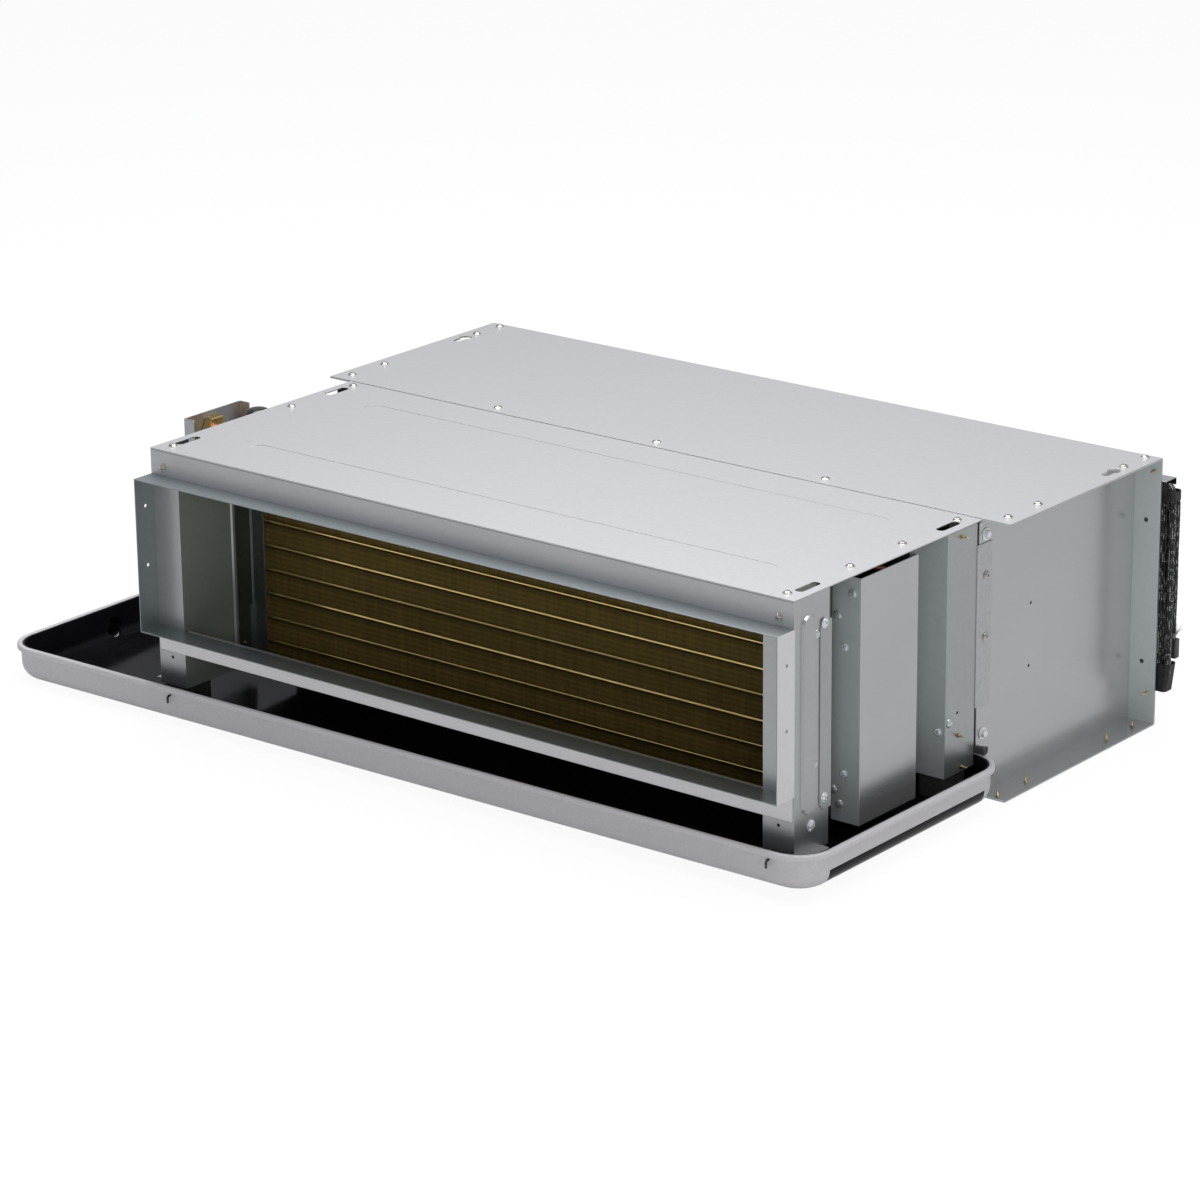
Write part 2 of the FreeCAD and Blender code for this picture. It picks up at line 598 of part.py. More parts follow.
def side_panel():
    """Right plenum side: a channel with top and bottom flanges, and a rear duct flange."""
    edge = BOX_LENGTH + FLANGE
    web, under_cover = BOX_LENGTH - SHEET, HEIGHT - SHEET
    profile = [(edge, under_cover), (web, under_cover), (web, SHEET), (edge, SHEET)]
    panel = bent_sheet(profile, PLENUM_FRONT, PLENUM_BACK - SHEET, "xz")
    back = block(BOX_LENGTH - SHEET, edge, PLENUM_BACK - SHEET, PLENUM_BACK, SHEET, HEIGHT - SHEET)
    panel = panel.fuse(back)
    holes = [keyhole_cutter(BOX_LENGTH + 14.8)]
    for z in (64.3, 210.6):
        holes.append(small_hole(V(BOX_LENGTH + 13.8, PLENUM_BACK - 3, z), Y_AXIS, 5, 2.5))
    for y, z in ((380.4, 171.5), (378.9, 108.6)):
        holes.append(small_hole(V(BOX_LENGTH - 3, y, z), X_AXIS, 5))
    return panel.cut(Part.makeCompound(holes)).removeSplitter()


def plenum_cover():
    cover = block(-FLANGE, BOX_LENGTH + FLANGE, PLENUM_FRONT + 0.8, PLENUM_BACK, HEIGHT - SHEET, HEIGHT)
    return cover.cut(Part.makeCompound([keyhole_cutter(x) for x in (-14.8, BOX_LENGTH + 14.8)]))


def scroll_outline(gap):
    """Side outline of a scroll: a growing spiral from the tongue round to the top, then the mouth."""
    def at(degrees, radius):
        angle = math.radians(degrees)
        return V(0, FAN_AXIS_Y - radius * math.cos(angle), FAN_AXIS_Z - radius * math.sin(angle))

    first, last, step = -30, 270, 25

    def radius_at(degrees):
        return SCROLL_START + (SCROLL_END - SCROLL_START) * (degrees - first) / (last - first) - gap

    stations = [at(d, radius_at(d)) for d in range(first, last + 1, step)]
    edges = [Part.LineSegment(a, b).toShape() for a, b in zip(stations, stations[1:])]
    start, end = stations[0], stations[-1]
    mouth_low = V(0, PLENUM_FRONT + SHEET - (1 if gap else 0), start.z + 2 + gap)
    mouth_high = V(0, mouth_low.y, end.z)
    corners = [end, mouth_high, mouth_low, start]
    edges += [Part.LineSegment(a, b).toShape() for a, b in zip(corners, corners[1:])]
    return Part.Wire(Part.__sortEdges__(edges)), mouth_low.z, mouth_high.z


def scroll_housing(centre):
    """Volute of folded sheet: wrapper, two cheeks with inlet bells, and a mouth flange on the deck."""
    half = SCROLL_WIDTH / 2
    outer, low, high = scroll_outline(0.0)
    inner = scroll_outline(SHEET)[0]
    body = Part.Face(outer).extrude(X_AXIS * SCROLL_WIDTH)
    space = Part.Face(inner).extrude(X_AXIS * (SCROLL_WIDTH - 2 * SHEET))
    space.translate(V(SHEET, 0, 0))
    body = body.cut(space)
    flange = block(-9, SCROLL_WIDTH + 9, PLENUM_FRONT + SHEET, PLENUM_FRONT + 2 * SHEET, low - 9, high + 9)
    flange = flange.cut(block(SHEET, SCROLL_WIDTH - SHEET, 0, 999, low + SHEET, high - SHEET))
    body = body.fuse(flange)
    axis = V(0, FAN_AXIS_Y, FAN_AXIS_Z)
    body = body.cut(turned([(-1, INLET_RADIUS), (SCROLL_WIDTH + 1, INLET_RADIUS)], axis, X_AXIS, 16))
    for x, way in ((0, 1), (SCROLL_WIDTH, -1)):
        bell = turned([(0.5, INLET_RADIUS + 5), (7, INLET_RADIUS + 1)], axis + X_AXIS * x, X_AXIS * way, 16)
        mouth = turned([(-1, INLET_RADIUS), (9, INLET_RADIUS)], axis + X_AXIS * x, X_AXIS * way, 16)
        body = body.fuse(bell.cut(mouth))
    body.translate(V(centre - half, 0, 0))
    return body.removeSplitter(), low, high


def fan_deck(mouths):
    """Partition that carries the scrolls, with a window for each mouth and turned edges."""
    deck = bent_sheet([(PLENUM_FRONT + 14, HEIGHT - SHEET), (PLENUM_FRONT, HEIGHT - SHEET),
                       (PLENUM_FRONT, SHEET), (PLENUM_FRONT + 14, SHEET)],
                      SHEET, BOX_LENGTH - SHEET, "yz")
    half = SCROLL_WIDTH / 2 - SHEET
    low, high = mouths
    windows = [block(c - half, c + half, PLENUM_FRONT - 1, PLENUM_FRONT + 3, low + SHEET, high - SHEET)
               for c in FAN_CENTRES]
    return deck.cut(Part.makeCompound(windows))


def return_frame():
    """Flat frame on the rear flanges, round the return opening."""
    frame = block(-FLANGE, BOX_LENGTH + FLANGE, PLENUM_BACK, PLENUM_BACK + SHEET, SHEET, HEIGHT - SHEET)
    frame = frame.cut(block(18, BOX_LENGTH - 18, PLENUM_BACK - 1, PLENUM_BACK + 2, 18, HEIGHT - 18))
    for x in (-13.8, BOX_LENGTH + 13.8):
        for z in (64.3, 210.6):
            frame = frame.cut(rod(V(x, PLENUM_BACK - 1, z), Y_AXIS, 4, 2.5))
    return frame


def joint_strap():
    """Right angle strip that ties the rear post to the plenum."""
    return bent_sheet([(BOX_LENGTH - 30, BACK_POST_BACK), (BOX_LENGTH + SHEET, BACK_POST_BACK),
                       (BOX_LENGTH + SHEET, 316.0)], 91.5, 252.5, "xy")


def plenum_seal():
    """Foam frame that closes the joint between the coil box and the fan deck."""
    y0, y1 = BACK_POST_BACK + SHEET, PLENUM_FRONT
    ring = block(2, BOX_LENGTH - 2, y0, y1, 50, 272)
    return ring.cut(block(26, BOX_LENGTH - 26, y0 - 1, y1 + 1, 60, 260))


left_scroll, mouth_low, mouth_high = scroll_housing(FAN_CENTRES[0])
right_scroll = scroll_housing(FAN_CENTRES[1])[0]
keep("plenum_top_cover", plenum_cover())
keep("plenum_bottom_cover", block(-FLANGE, BOX_LENGTH + FLANGE, PLENUM_FRONT, PLENUM_BACK, 0, SHEET))
keep("plenum_side_right", side_panel())
keep("plenum_side_left", mirrored(side_panel()))
keep("fan_deck", fan_deck((mouth_low, mouth_high)))
keep("return_frame", return_frame())
keep("joint_straps", joint_strap(), mirrored(joint_strap()))
keep("plenum_seal", plenum_seal())
keep("scroll_housing_left", left_scroll)
keep("scroll_housing_right", right_scroll)


# Fan wheels, shaft and motor

def on_wheel(x, radius, angle):
    return V(x, FAN_AXIS_Y + radius * math.cos(angle), FAN_AXIS_Z + radius * math.sin(angle))


def blade(index, x0, x1):
    """One forward-curved blade, folded once between the wheel's inner and outer radius."""
    turn = 2 * math.pi * index / BLADES
    middle = (WHEEL_RADIUS + WHEEL_BORE_RADIUS) / 2
    line = [(WHEEL_BORE_RADIUS, 0.0), (middle, -0.04), (WHEEL_RADIUS, 0.03)]
    front = [on_wheel(x0, radius, turn + lead) for radius, lead in line]
    back = [on_wheel(x0, radius, turn + lead + 0.016) for radius, lead in line[::-1]]
    return Part.Face(Part.makePolygon(front + back + front[:1])).extrude(X_AXIS * (x1 - x0))


def many_sided(radius, x0, x1, sides=BLADES):
    corners = [on_wheel(x0, radius, 2 * math.pi * (k + 0.5) / sides) for k in range(sides)]
    return Part.Face(Part.makePolygon(corners + corners[:1])).extrude(X_AXIS * (x1 - x0))


def fan_wheel(centre):
    """Double-inlet wheel: blades between two rims and a middle disc on a hub."""
    half, rim, disc = WHEEL_WIDTH / 2, 2.5, 1.5
    left, right = centre - half, centre + half
    mouth = WHEEL_BORE_RADIUS - 1.0
    rings = [many_sided(WHEEL_RADIUS + 1.5, x, x + rim).cut(many_sided(mouth, x - 1, x + rim + 1))
             for x in (left, right - rim)]
    plate = many_sided(WHEEL_RADIUS + 1.5, centre - disc, centre + disc)
    hub = many_sided(13.0, centre - 14, centre + 14, 12)
    blades = [blade(i, left + rim, centre - disc) for i in range(BLADES)]
    blades += [blade(i, centre + disc, right - rim) for i in range(BLADES)]
    wheel = rings[0].multiFuse([rings[1], plate, hub] + blades)
    return wheel.cut(rod(V(centre - 20, FAN_AXIS_Y, FAN_AXIS_Z), X_AXIS, 40, SHAFT_RADIUS))


def motor_body():
    """Round motor with a boss at each end, bored for the shaft."""
    half = MOTOR_LENGTH / 2
    right_end = [(24, MOTOR_RADIUS), (24, 49), (half - 8, 49), (half, 34), (half, BOSS_RADIUS),
                 (half + 10, BOSS_RADIUS)]
    left_end = [(-a, radius) for a, radius in right_end[::-1]]
    middle = V(BOX_LENGTH / 2, FAN_AXIS_Y, FAN_AXIS_Z)
    body = turned(left_end + right_end, middle, X_AXIS, 16)
    return body.cut(rod(middle - X_AXIS * (half + 11), X_AXIS, 2 * half + 22, SHAFT_RADIUS + SHAFT_PLAY))


def motor_bracket():
    """Cradle folded from one strip: its back is on the deck and its two ears hold the rubber rings."""
    half = MOTOR_LENGTH / 2 + 6
    middle = BOX_LENGTH / 2
    left, right = middle - half, middle + half
    deck, ear_end = PLENUM_FRONT + SHEET, FAN_AXIS_Y + CRADLE_HALF
    strip = [(left, ear_end), (left, deck), (right, deck), (right, ear_end)]
    cradle = bent_sheet(strip, FAN_AXIS_Z - CRADLE_HALF, FAN_AXIS_Z + CRADLE_HALF, "xy", CRADLE_SHEET)
    hole_start = V(left - 5, FAN_AXIS_Y, FAN_AXIS_Z)
    ear_hole = turned([(0, RING_RADIUS), (2 * half + 10, RING_RADIUS)], hole_start, X_AXIS, 16)
    return cradle.cut(ear_hole)


def rubber_ring(side):
    start = V(BOX_LENGTH / 2 + side * (MOTOR_LENGTH / 2 + 5) - 4, FAN_AXIS_Y, FAN_AXIS_Z)
    ring = turned([(0, RING_RADIUS), (8, RING_RADIUS)], start, X_AXIS, 16)
    return ring.cut(turned([(-1, BOSS_RADIUS), (9, BOSS_RADIUS)], start, X_AXIS, 16))


keep("fan_wheel_left", fan_wheel(FAN_CENTRES[0]))
keep("fan_wheel_right", fan_wheel(FAN_CENTRES[1]))
keep("fan_shaft", rod(V(FAN_CENTRES[0] - 18, FAN_AXIS_Y, FAN_AXIS_Z), X_AXIS,
                      FAN_CENTRES[1] - FAN_CENTRES[0] + 36, SHAFT_RADIUS))
keep("fan_motor", motor_body())
keep("motor_bracket", motor_bracket())
keep("motor_rubber_rings", rubber_ring(-1), rubber_ring(1))
deck_face = PLENUM_FRONT + SHEET
can = [(0, CAPACITOR_RADIUS), (CAPACITOR_LENGTH, CAPACITOR_RADIUS)]
capacitor = turned(can, V(360, deck_face + 18, 40), X_AXIS, 16)
keep("capacitor", capacitor)
keep("capacitor_clip", block(382, 398, deck_face, deck_face + 35, 23.5, 56.5).cut(capacitor))


# Wiring harness: one sleeved lead that leaves the rear frame, hangs down and is folded into a taped hank

HARNESS_RADIUS = 3.5
GROMMET_X, GROMMET_Z = 776.5, 226.0
HANK_LEFT, HANK_RIGHT = 799.5, 829.0
CLIP_RIGHT = 820.0
HANK_FRONT, HANK_BACK = 565.5, 581.0
HANK_BOTTOM, HANK_TOP = 42.0, 251.0
HARNESS_ROUTE = [
    (GROMMET_X, 566.0, GROMMET_Z), (GROMMET_X, 577.0, GROMMET_Z), (777.6, 590.5, 218.5),
    (779.4, 599.5, 204.0), (782.2, 601.5, 182.5), (785.4, 596.5, 152.0), (788.0, 586.5, 117.0),
    (789.6, 577.5, 83.0), (789.0, 573.0, 53.0), (789.3, 571.5, 29.6), (803.0, 569.6, 29.6),
    (803.0, 569.6, HANK_BOTTOM),
]


def section_at(centre, along, axis, radius):
    """Six-sided section across a run, with two flats parallel to the bend's axis."""
    across = axis.cross(along).normalize()
    ring = ring_about(centre, axis, across, radius, 6)
    return Part.Face(Part.makePolygon(ring + ring[:1]))


def lead_tube(points, radius):
    """Six-sided tube on straight runs joined by arcs as large as the runs allow; prints each radius."""
    pieces, radii, length, last = [], [], 0.0, points[0]
    for before, corner, after in zip(points, points[1:], points[2:]):
        back, ahead = before - corner, after - corner
        reach = 0.45 * min(back.Length, ahead.Length)
        half = back.getAngle(ahead) / 2
        bend, turn = reach * math.tan(half), math.pi - 2 * half
        axis = back.cross(ahead).normalize()
        start = corner + back.normalize() * reach
        middle = corner + (back + ahead.normalize()).normalize() * (bend / math.sin(half))
        pieces.append(section_at(last, corner - before, axis, radius).extrude(start - last))
        arc = section_at(start, corner - before, axis, radius).revolve(middle, axis, -math.degrees(turn))
        pieces.append(arc if arc.Volume > 0 else arc.reversed())
        length += (start - last).Length + bend * turn
        radii.append(round(bend, 1))
        last = corner + ahead * reach
    pieces.append(section_at(last, points[-1] - last, axis, radius).extrude(points[-1] - last))
    length += (points[-1] - last).Length
    tube = pieces[0].multiFuse(pieces[1:])
    area = section_at(last, points[-1] - last, axis, radius).Area
    share = round(tube.Volume / (area * length), 4)
    print("harness radii", radii, "length", round(length, 1), "volume share", share)
    return tube


def hank():
    """Outer shape of the folded runs, rounded where they turn."""
    outline = cut_rectangle(HANK_LEFT, HANK_RIGHT, HANK_FRONT, HANK_BACK, 2.8, HANK_BOTTOM)
    return Part.Face(outline).extrude(V(0, 0, HANK_TOP - HANK_BOTTOM))


def band(z0, z1):
    """Tape wound round the hank."""
    t = 0.6
    outer = Part.Face(cut_rectangle(HANK_LEFT - t, HANK_RIGHT + t, HANK_FRONT - t, HANK_BACK + t, 3.0, z0))
    return outer.extrude(V(0, 0, z1 - z0)).cut(hank())


def hank_clip():
    """Spring clip on the rear frame: it caps the hank, with a lip behind it and an ear for its screw."""
    frame_face = PLENUM_BACK + SHEET
    top = HANK_TOP + POST_SHEET
    clip = bent_sheet([(frame_face + 0.7, 238.0), (frame_face + 0.7, top), (HANK_BACK + 1.9, top),
                       (HANK_BACK + 1.9, 245.0)][::-1], HANK_LEFT, CLIP_RIGHT, "yz")
    ear = block(HANK_LEFT - 13, CLIP_RIGHT, frame_face, frame_face + 1.0, 238.0, top)
    return clip.fuse(ear).removeSplitter()


grommet_at = V(GROMMET_X, PLENUM_BACK + SHEET, GROMMET_Z)
keep("harness_grommet", turned([(0, 6.5), (1.2, 6.5), (2.4, 5.2)], grommet_at, Y_AXIS, 12))
keep("harness_lead", lead_tube([V(*p) for p in HARNESS_ROUTE], HARNESS_RADIUS))
keep("harness_hank", hank())
keep("harness_tape", band(44, 64), band(226, 236))
keep("harness_clip", hank_clip())
keep("harness_connector", block(814.0, 826.0, HANK_BACK, HANK_BACK + 8, 66, 86))


# Fasteners

RIGHT, FRONT, REAR, UP = X_AXIS, -Y_AXIS, Y_AXIS, Z_AXIS
TOP_SCREWS_LEFT = (17.0, 190.0, 284.0)
TOP_SCREWS_RIGHT = (14.0, 109.0, 191.0, 280.0)
heads = [screw_head(V(SLOT_X + 0.5, y, HEIGHT), UP) for y in TOP_SCREWS_LEFT]
heads += [screw_head(V(BOX_LENGTH - 18, y, HEIGHT), UP) for y in TOP_SCREWS_RIGHT]
heads += [screw_head(V(x, 0, 257.8), FRONT) for x in (16.3, 768.6)]
keep("coil_box_screws", *heads)

closer_face = BOX_LENGTH + POST_SHEET
side_heads = [screw_head(V(closer_face, 44, z), RIGHT, 4.6) for z in (244.0, 78.0)]
side_heads.append(screw_head(V(BOX_LENGTH, 26, 56.4), RIGHT, 5.4))
side_heads += [screw_head(V(768, COIL_FRONT - 0.6, z), FRONT) for z in (201.0, 78.3)]
side_heads.append(screw_head(V(778, BACK_POST_FRONT, 80.4), FRONT))
left_heads = [mirrored(screw_head(V(closer_face, 44, z), RIGHT, 4.6)) for z in (244.0, 78.0)]
left_heads.append(mirrored(screw_head(V(BOX_LENGTH, 26, 56.4), RIGHT, 5.4)))
strap_face = BOX_LENGTH + SHEET
strap_heads = [screw_head(V(strap_face, 301.5, z), RIGHT, 4.4) for z in (220.4, 159.5)]
keep("side_screws", *side_heads, *left_heads, *strap_heads, *[mirrored(h) for h in strap_heads])


def washer_bolt(z):
    """Hexagon bolt on a wide washer."""
    washer = turned([(0, WASHER_RADIUS), (1.2, WASHER_RADIUS)], V(BOX_LENGTH, 301, z), RIGHT, 12)
    head = turned([(0, 4.0), (3.2, 3.6)], V(BOX_LENGTH + 1.2, 301, z), RIGHT, 6)
    return washer.fuse(head)


bolts = [washer_bolt(z) for z in (260.6, 62.9)]
keep("plenum_bolts", *bolts, *[mirrored(b) for b in bolts])

FLANGE_MIDDLES = (-14.8, BOX_LENGTH + 14.8)
COVER_SCREWS = (315.5, 366.0, 516.0, 554.5)
cover_heads = [screw_head(V(x, y, HEIGHT), UP) for x in FLANGE_MIDDLES for y in COVER_SCREWS]
keep("plenum_rivets", *[screw_head(V(x, 312, HEIGHT), UP, 4.6, 1.6) for x in (185.5, 389.0, 594.0)])


def screw_tip(at, out):
    """Point of a sheet-metal screw where it comes through."""
    return turned([(0, 2.0), (7.0, 0.5)], at, out, 5)


tips = [screw_tip(V(BOX_LENGTH + 18, y, 2 * SHEET), UP) for y in (302.6, 350.6, 493.6, 540.8)]
tips += [screw_tip(V(BOX_LENGTH + 21, PLENUM_BACK - SHEET, z), FRONT) for z in (261.6, 33.0)]
tips += [mirrored(tip) for tip in tips]
tips += [screw_tip(V(BOX_LENGTH, y, z), RIGHT) for y, z in ((261.4, 268.0), (260.0, 73.0), (265.7, 40.0))]
keep("screw_tips", *tips)
frame_heads = [screw_head(V(x, PLENUM_BACK + SHEET, z), REAR)
               for x in (-21.0, BOX_LENGTH + 21) for z in (33.0, 261.6)]
frame_heads.append(screw_head(V(HANK_LEFT - 6.5, PLENUM_BACK + SHEET + 1.0, 245.0), REAR, 3.6))
keep("plenum_screws", *cover_heads, *frame_heads)


os.makedirs("parts", exist_ok=True)
for name, solids in NODES.items():
    shape = solids[0].copy() if len(solids) == 1 else Part.makeCompound(solids)
    shape.translate(ORIGIN_SHIFT)
    shape.exportStep("parts/" + name + ".step")
    print(name, len(shape.Solids), shape.isValid(), round(sum(s.Volume for s in shape.Solids)))
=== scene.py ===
import bmesh
import bpy
import json
import math
import random
from mathutils import Matrix, Vector


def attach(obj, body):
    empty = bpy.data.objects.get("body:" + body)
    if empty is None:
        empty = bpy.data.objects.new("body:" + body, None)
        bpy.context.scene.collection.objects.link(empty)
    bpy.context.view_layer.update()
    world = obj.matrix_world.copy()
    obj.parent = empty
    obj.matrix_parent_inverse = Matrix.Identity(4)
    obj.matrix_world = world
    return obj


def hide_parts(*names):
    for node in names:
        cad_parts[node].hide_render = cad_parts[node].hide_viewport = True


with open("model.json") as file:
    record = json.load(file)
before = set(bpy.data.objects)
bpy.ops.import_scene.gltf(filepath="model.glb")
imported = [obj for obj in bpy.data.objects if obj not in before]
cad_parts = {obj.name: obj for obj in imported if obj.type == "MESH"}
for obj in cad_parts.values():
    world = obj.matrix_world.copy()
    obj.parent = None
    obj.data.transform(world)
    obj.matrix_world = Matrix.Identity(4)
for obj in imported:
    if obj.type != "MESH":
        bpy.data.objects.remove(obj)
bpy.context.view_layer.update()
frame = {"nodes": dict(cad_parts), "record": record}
nodes = frame["nodes"]
scene = bpy.context.scene


# Studio
# A pale seamless floor, three soft boxes and a long lens at the angle of the product photograph.
# The floor and the world look white to the camera and in the metal, and keep the unit's soft shadow.

def stood(name, data):
    """Object of a mesh, curve, lamp or camera, linked to the scene."""
    made = bpy.data.objects.new(name, data)
    scene.collection.objects.link(made)
    return made


camera_data = bpy.data.cameras.new("product_camera")
camera_data.lens, camera_data.sensor_width = 131.49, 36.0
camera = stood("product_camera", camera_data)
view_right = Vector((0.781034, 0.624407, -0.010065))
view_down = Vector((0.192889, -0.256539, -0.947091))
view_ahead = Vector((-0.593953, 0.737769, -0.320807))
camera.matrix_world = Matrix((
    (view_right.x, -view_down.x, -view_ahead.x, 2.63957),
    (view_right.y, -view_down.y, -view_ahead.y, -3.22467),
    (view_right.z, -view_down.z, -view_ahead.z, 1.51404),
    (0, 0, 0, 1)))
scene.camera = camera
scene.view_settings.view_transform = "Standard"


def soft_box(name, place, aim, width, height, watts, mirrored=True):
    """Rectangular lamp at a place, turned towards a point. Metal shows it only if it is mirrored."""
    lamp = bpy.data.lights.new(name, "AREA")
    lamp.shape = "RECTANGLE"
    lamp.size, lamp.size_y, lamp.energy = width, height, watts
    holder = stood(name, lamp)
    holder.location = place
    holder.rotation_euler = (Vector(aim) - Vector(place)).to_track_quat("-Z", "Y").to_euler()
    holder.visible_glossy = mirrored


soft_box("overhead_box", (0.0, 0.3, 2.5), (0.0, 0.0, 0.1), 2.8, 2.2, 124)
soft_box("front_box", (2.2, -2.6, 1.1), (0.3, -0.1, 0.1), 1.4, 1.1, 26, mirrored=False)
soft_box("right_box", (2.6, 0.3, 1.3), (0.3, 0.0, 0.15), 1.2, 1.2, 9, mirrored=False)


def new_finish(name):
    """Empty node material: returns the material, its tree and its Principled shader."""
    finish = bpy.data.materials.new(name)
    finish.use_nodes = True
    return finish, finish.node_tree, finish.node_tree.nodes["Principled BSDF"]


def label_of(key):
    """Name of a node's input, from a setting's name."""
    return key.replace("_", " ").title()


def filled(tree, node, *feeds, **settings):
    """Fill a node's inputs in their order and by name; a setting that names no input is a property.
    Another node or a socket is linked, and anything else is the input's own value."""
    for key, value in settings.items():
        if label_of(key) not in node.inputs:
            setattr(node, key, value)
    named = [(node.inputs[label_of(key)], value) for key, value in settings.items() if label_of(key) in node.inputs]
    for socket, source in list(zip(node.inputs, feeds)) + named:
        if isinstance(source, bpy.types.Node):
            source = source.outputs[0]
        if isinstance(source, bpy.types.NodeSocket):
            tree.links.new(source, socket)
        else:
            socket.default_value = (*source, 1) if socket.type == "RGBA" else source
    return node


def add_node(tree, kind, *feeds, **settings):
    """New node of a kind, filled."""
    return filled(tree, tree.nodes.new(kind), *feeds, **settings)


def worked(tree, operation, *feeds):
    """Sum, product or other result of one, two or three values."""
    return add_node(tree, "ShaderNodeMath", *feeds, operation=operation)


def stepped(tree, value, **limits):
    """Value brought from one range to another."""
    return add_node(tree, "ShaderNodeMapRange", value, **limits)


floor_mesh = bpy.data.meshes.new("studio_floor")
floor_mesh.from_pydata([(-9, -9, 0), (9, -9, 0), (9, 9, 0), (-9, 9, 0)], [], [(0, 1, 2, 3)])
floor = stood("studio_floor", floor_mesh)
floor_paper, tree, shader = new_finish("floor_paper")
filled(tree, shader, base_color=(0.86, 0.86, 0.87), roughness=0.9)
seen = add_node(tree, "ShaderNodeLightPath").outputs
glow = add_node(tree, "ShaderNodeEmission", color=(1, 1, 1),
                strength=stepped(tree, seen["Is Glossy Ray"], to_min=1.0, to_max=0.62))
share = worked(tree, "MAXIMUM", worked(tree, "MULTIPLY", seen["Is Camera Ray"], 0.93), seen["Is Glossy Ray"])
filled(tree, tree.nodes["Material Output"], add_node(tree, "ShaderNodeMixShader", share, shader, glow))
floor_mesh.materials.append(floor_paper)

world = bpy.data.worlds.new("studio_air")
scene.world = world
world.use_nodes = True
tree = world.node_tree
air = filled(tree, tree.nodes["Background"], color=(0.93, 0.95, 1.0), strength=0.36)
backdrop = add_node(tree, "ShaderNodeBackground", color=(1, 1, 1), strength=1.0)
seen = add_node(tree, "ShaderNodeLightPath").outputs
filled(tree, tree.nodes["World Output"],
       add_node(tree, "ShaderNodeMixShader", seen["Is Camera Ray"], air, backdrop))


# Wiring harness
# One black braided polyester sleeve, 7 mm thick, leaves a rubber grommet in the rear frame, hangs
# down, and is folded into a hank of six runs that black tape holds at both ends. It ends in a nylon plug.
SLEEVE = 0.007
harness_points = [
    (0.4765, 0.2888, 0.2260), (0.4765, 0.2998, 0.2260), (0.4776, 0.3133, 0.2185), (0.4794, 0.3223, 0.2040),
    (0.4822, 0.3243, 0.1825), (0.4854, 0.3193, 0.1520), (0.4880, 0.3093, 0.1170), (0.4896, 0.3003, 0.0830),
    (0.4890, 0.2958, 0.0530), (0.4893, 0.2943, 0.0296), (0.5030, 0.2924, 0.0296), (0.5035, 0.2924, 0.0500),
    (0.5031, 0.2927, 0.0636), (0.5032, 0.2924, 0.1037), (0.5037, 0.2926, 0.1446), (0.5029, 0.2927, 0.1896),
    (0.5038, 0.2920, 0.2257), (0.5035, 0.2924, 0.2385), (0.5142, 0.3002, 0.2385), (0.5147, 0.3006, 0.2233),
    (0.5137, 0.3005, 0.1914), (0.5144, 0.3000, 0.1476), (0.5143, 0.3003, 0.1020), (0.5141, 0.3001, 0.0633),
    (0.5142, 0.3002, 0.0495), (0.5246, 0.2924, 0.0495), (0.5243, 0.2924, 0.0612), (0.5247, 0.2925, 0.1014),
    (0.5240, 0.2927, 0.1456), (0.5243, 0.2928, 0.1898), (0.5250, 0.2924, 0.2268), (0.5246, 0.2924, 0.2470),
    (0.5035, 0.3002, 0.2470), (0.5032, 0.2999, 0.2254), (0.5031, 0.2999, 0.1894), (0.5040, 0.3004, 0.1486),
    (0.5032, 0.3002, 0.1027), (0.5031, 0.2999, 0.0603), (0.5035, 0.3002, 0.0575), (0.5142, 0.2924, 0.0575),
    (0.5143, 0.2926, 0.0718), (0.5147, 0.2926, 0.1145), (0.5136, 0.2924, 0.1577), (0.5144, 0.2927, 0.1957),
    (0.5142, 0.2922, 0.2263), (0.5142, 0.2924, 0.2365), (0.5246, 0.3002, 0.2365), (0.5249, 0.3002, 0.2150),
    (0.5243, 0.3002, 0.1750), (0.5248, 0.3002, 0.1350), (0.5225, 0.3030, 0.1100), (0.5202, 0.3075, 0.0960),
    (0.5200, 0.3078, 0.0850)]
route = bpy.data.curves.new("harness_route", "CURVE")
route.dimensions, route.resolution_u = "3D", 16
line = route.splines.new("NURBS")
line.points.add(len(harness_points) - 1)
for point, place in zip(line.points, harness_points):
    point.co = (*place, 1)
line.order_u = 3
line.use_endpoint_u = True
harness = stood("harness_sleeve", route)
harness_path = [tuple(v.co) for v in bpy.data.meshes.new_from_object(harness).vertices]


def scaled(tree, vector, factors):
    """Vector times three factors."""
    return add_node(tree, "ShaderNodeVectorMath", vector, factors, operation="MULTIPLY")


def between(tree, share, first, second):
    """Colour between two colours, by a share."""
    mix = add_node(tree, "ShaderNodeMix", share, data_type="RGBA")
    for socket, colour in zip(mix.inputs[6:8], (first, second)):
        if isinstance(colour, bpy.types.NodeSocket):
            tree.links.new(colour, socket)
        else:
            socket.default_value = (*colour, 1)
    return mix.outputs[2]


def new_tree(name, *results, **sizes):
    """Tree with named inputs, by the kind of their value: a shader group if it has named results, or
    else a geometry tree that takes a finish. Returns the tree, its given sockets and its last node."""
    tree = bpy.data.node_groups.new(name, "ShaderNodeTree" if results else "GeometryNodeTree")
    sockets = [(label, "OUTPUT", "Float", None) for label in results]
    if not results:
        sockets = [("Geometry", "INPUT", "Geometry", None), ("Geometry", "OUTPUT", "Geometry", None),
                   ("Finish", "INPUT", "Material", None)]
    kinds = {int: "Int", float: "Float", tuple: "Vector", bpy.types.Object: "Object"}
    sockets += [(label, "INPUT", kinds[type(value)], value) for label, value in sizes.items()]
    for label, way, kind, value in sockets:
        socket = tree.interface.new_socket(label, in_out=way, socket_type="NodeSocket" + kind)
        if value is not None:
            socket.default_value = value
    return tree, tree.nodes.new("NodeGroupInput").outputs, tree.nodes.new("NodeGroupOutput")


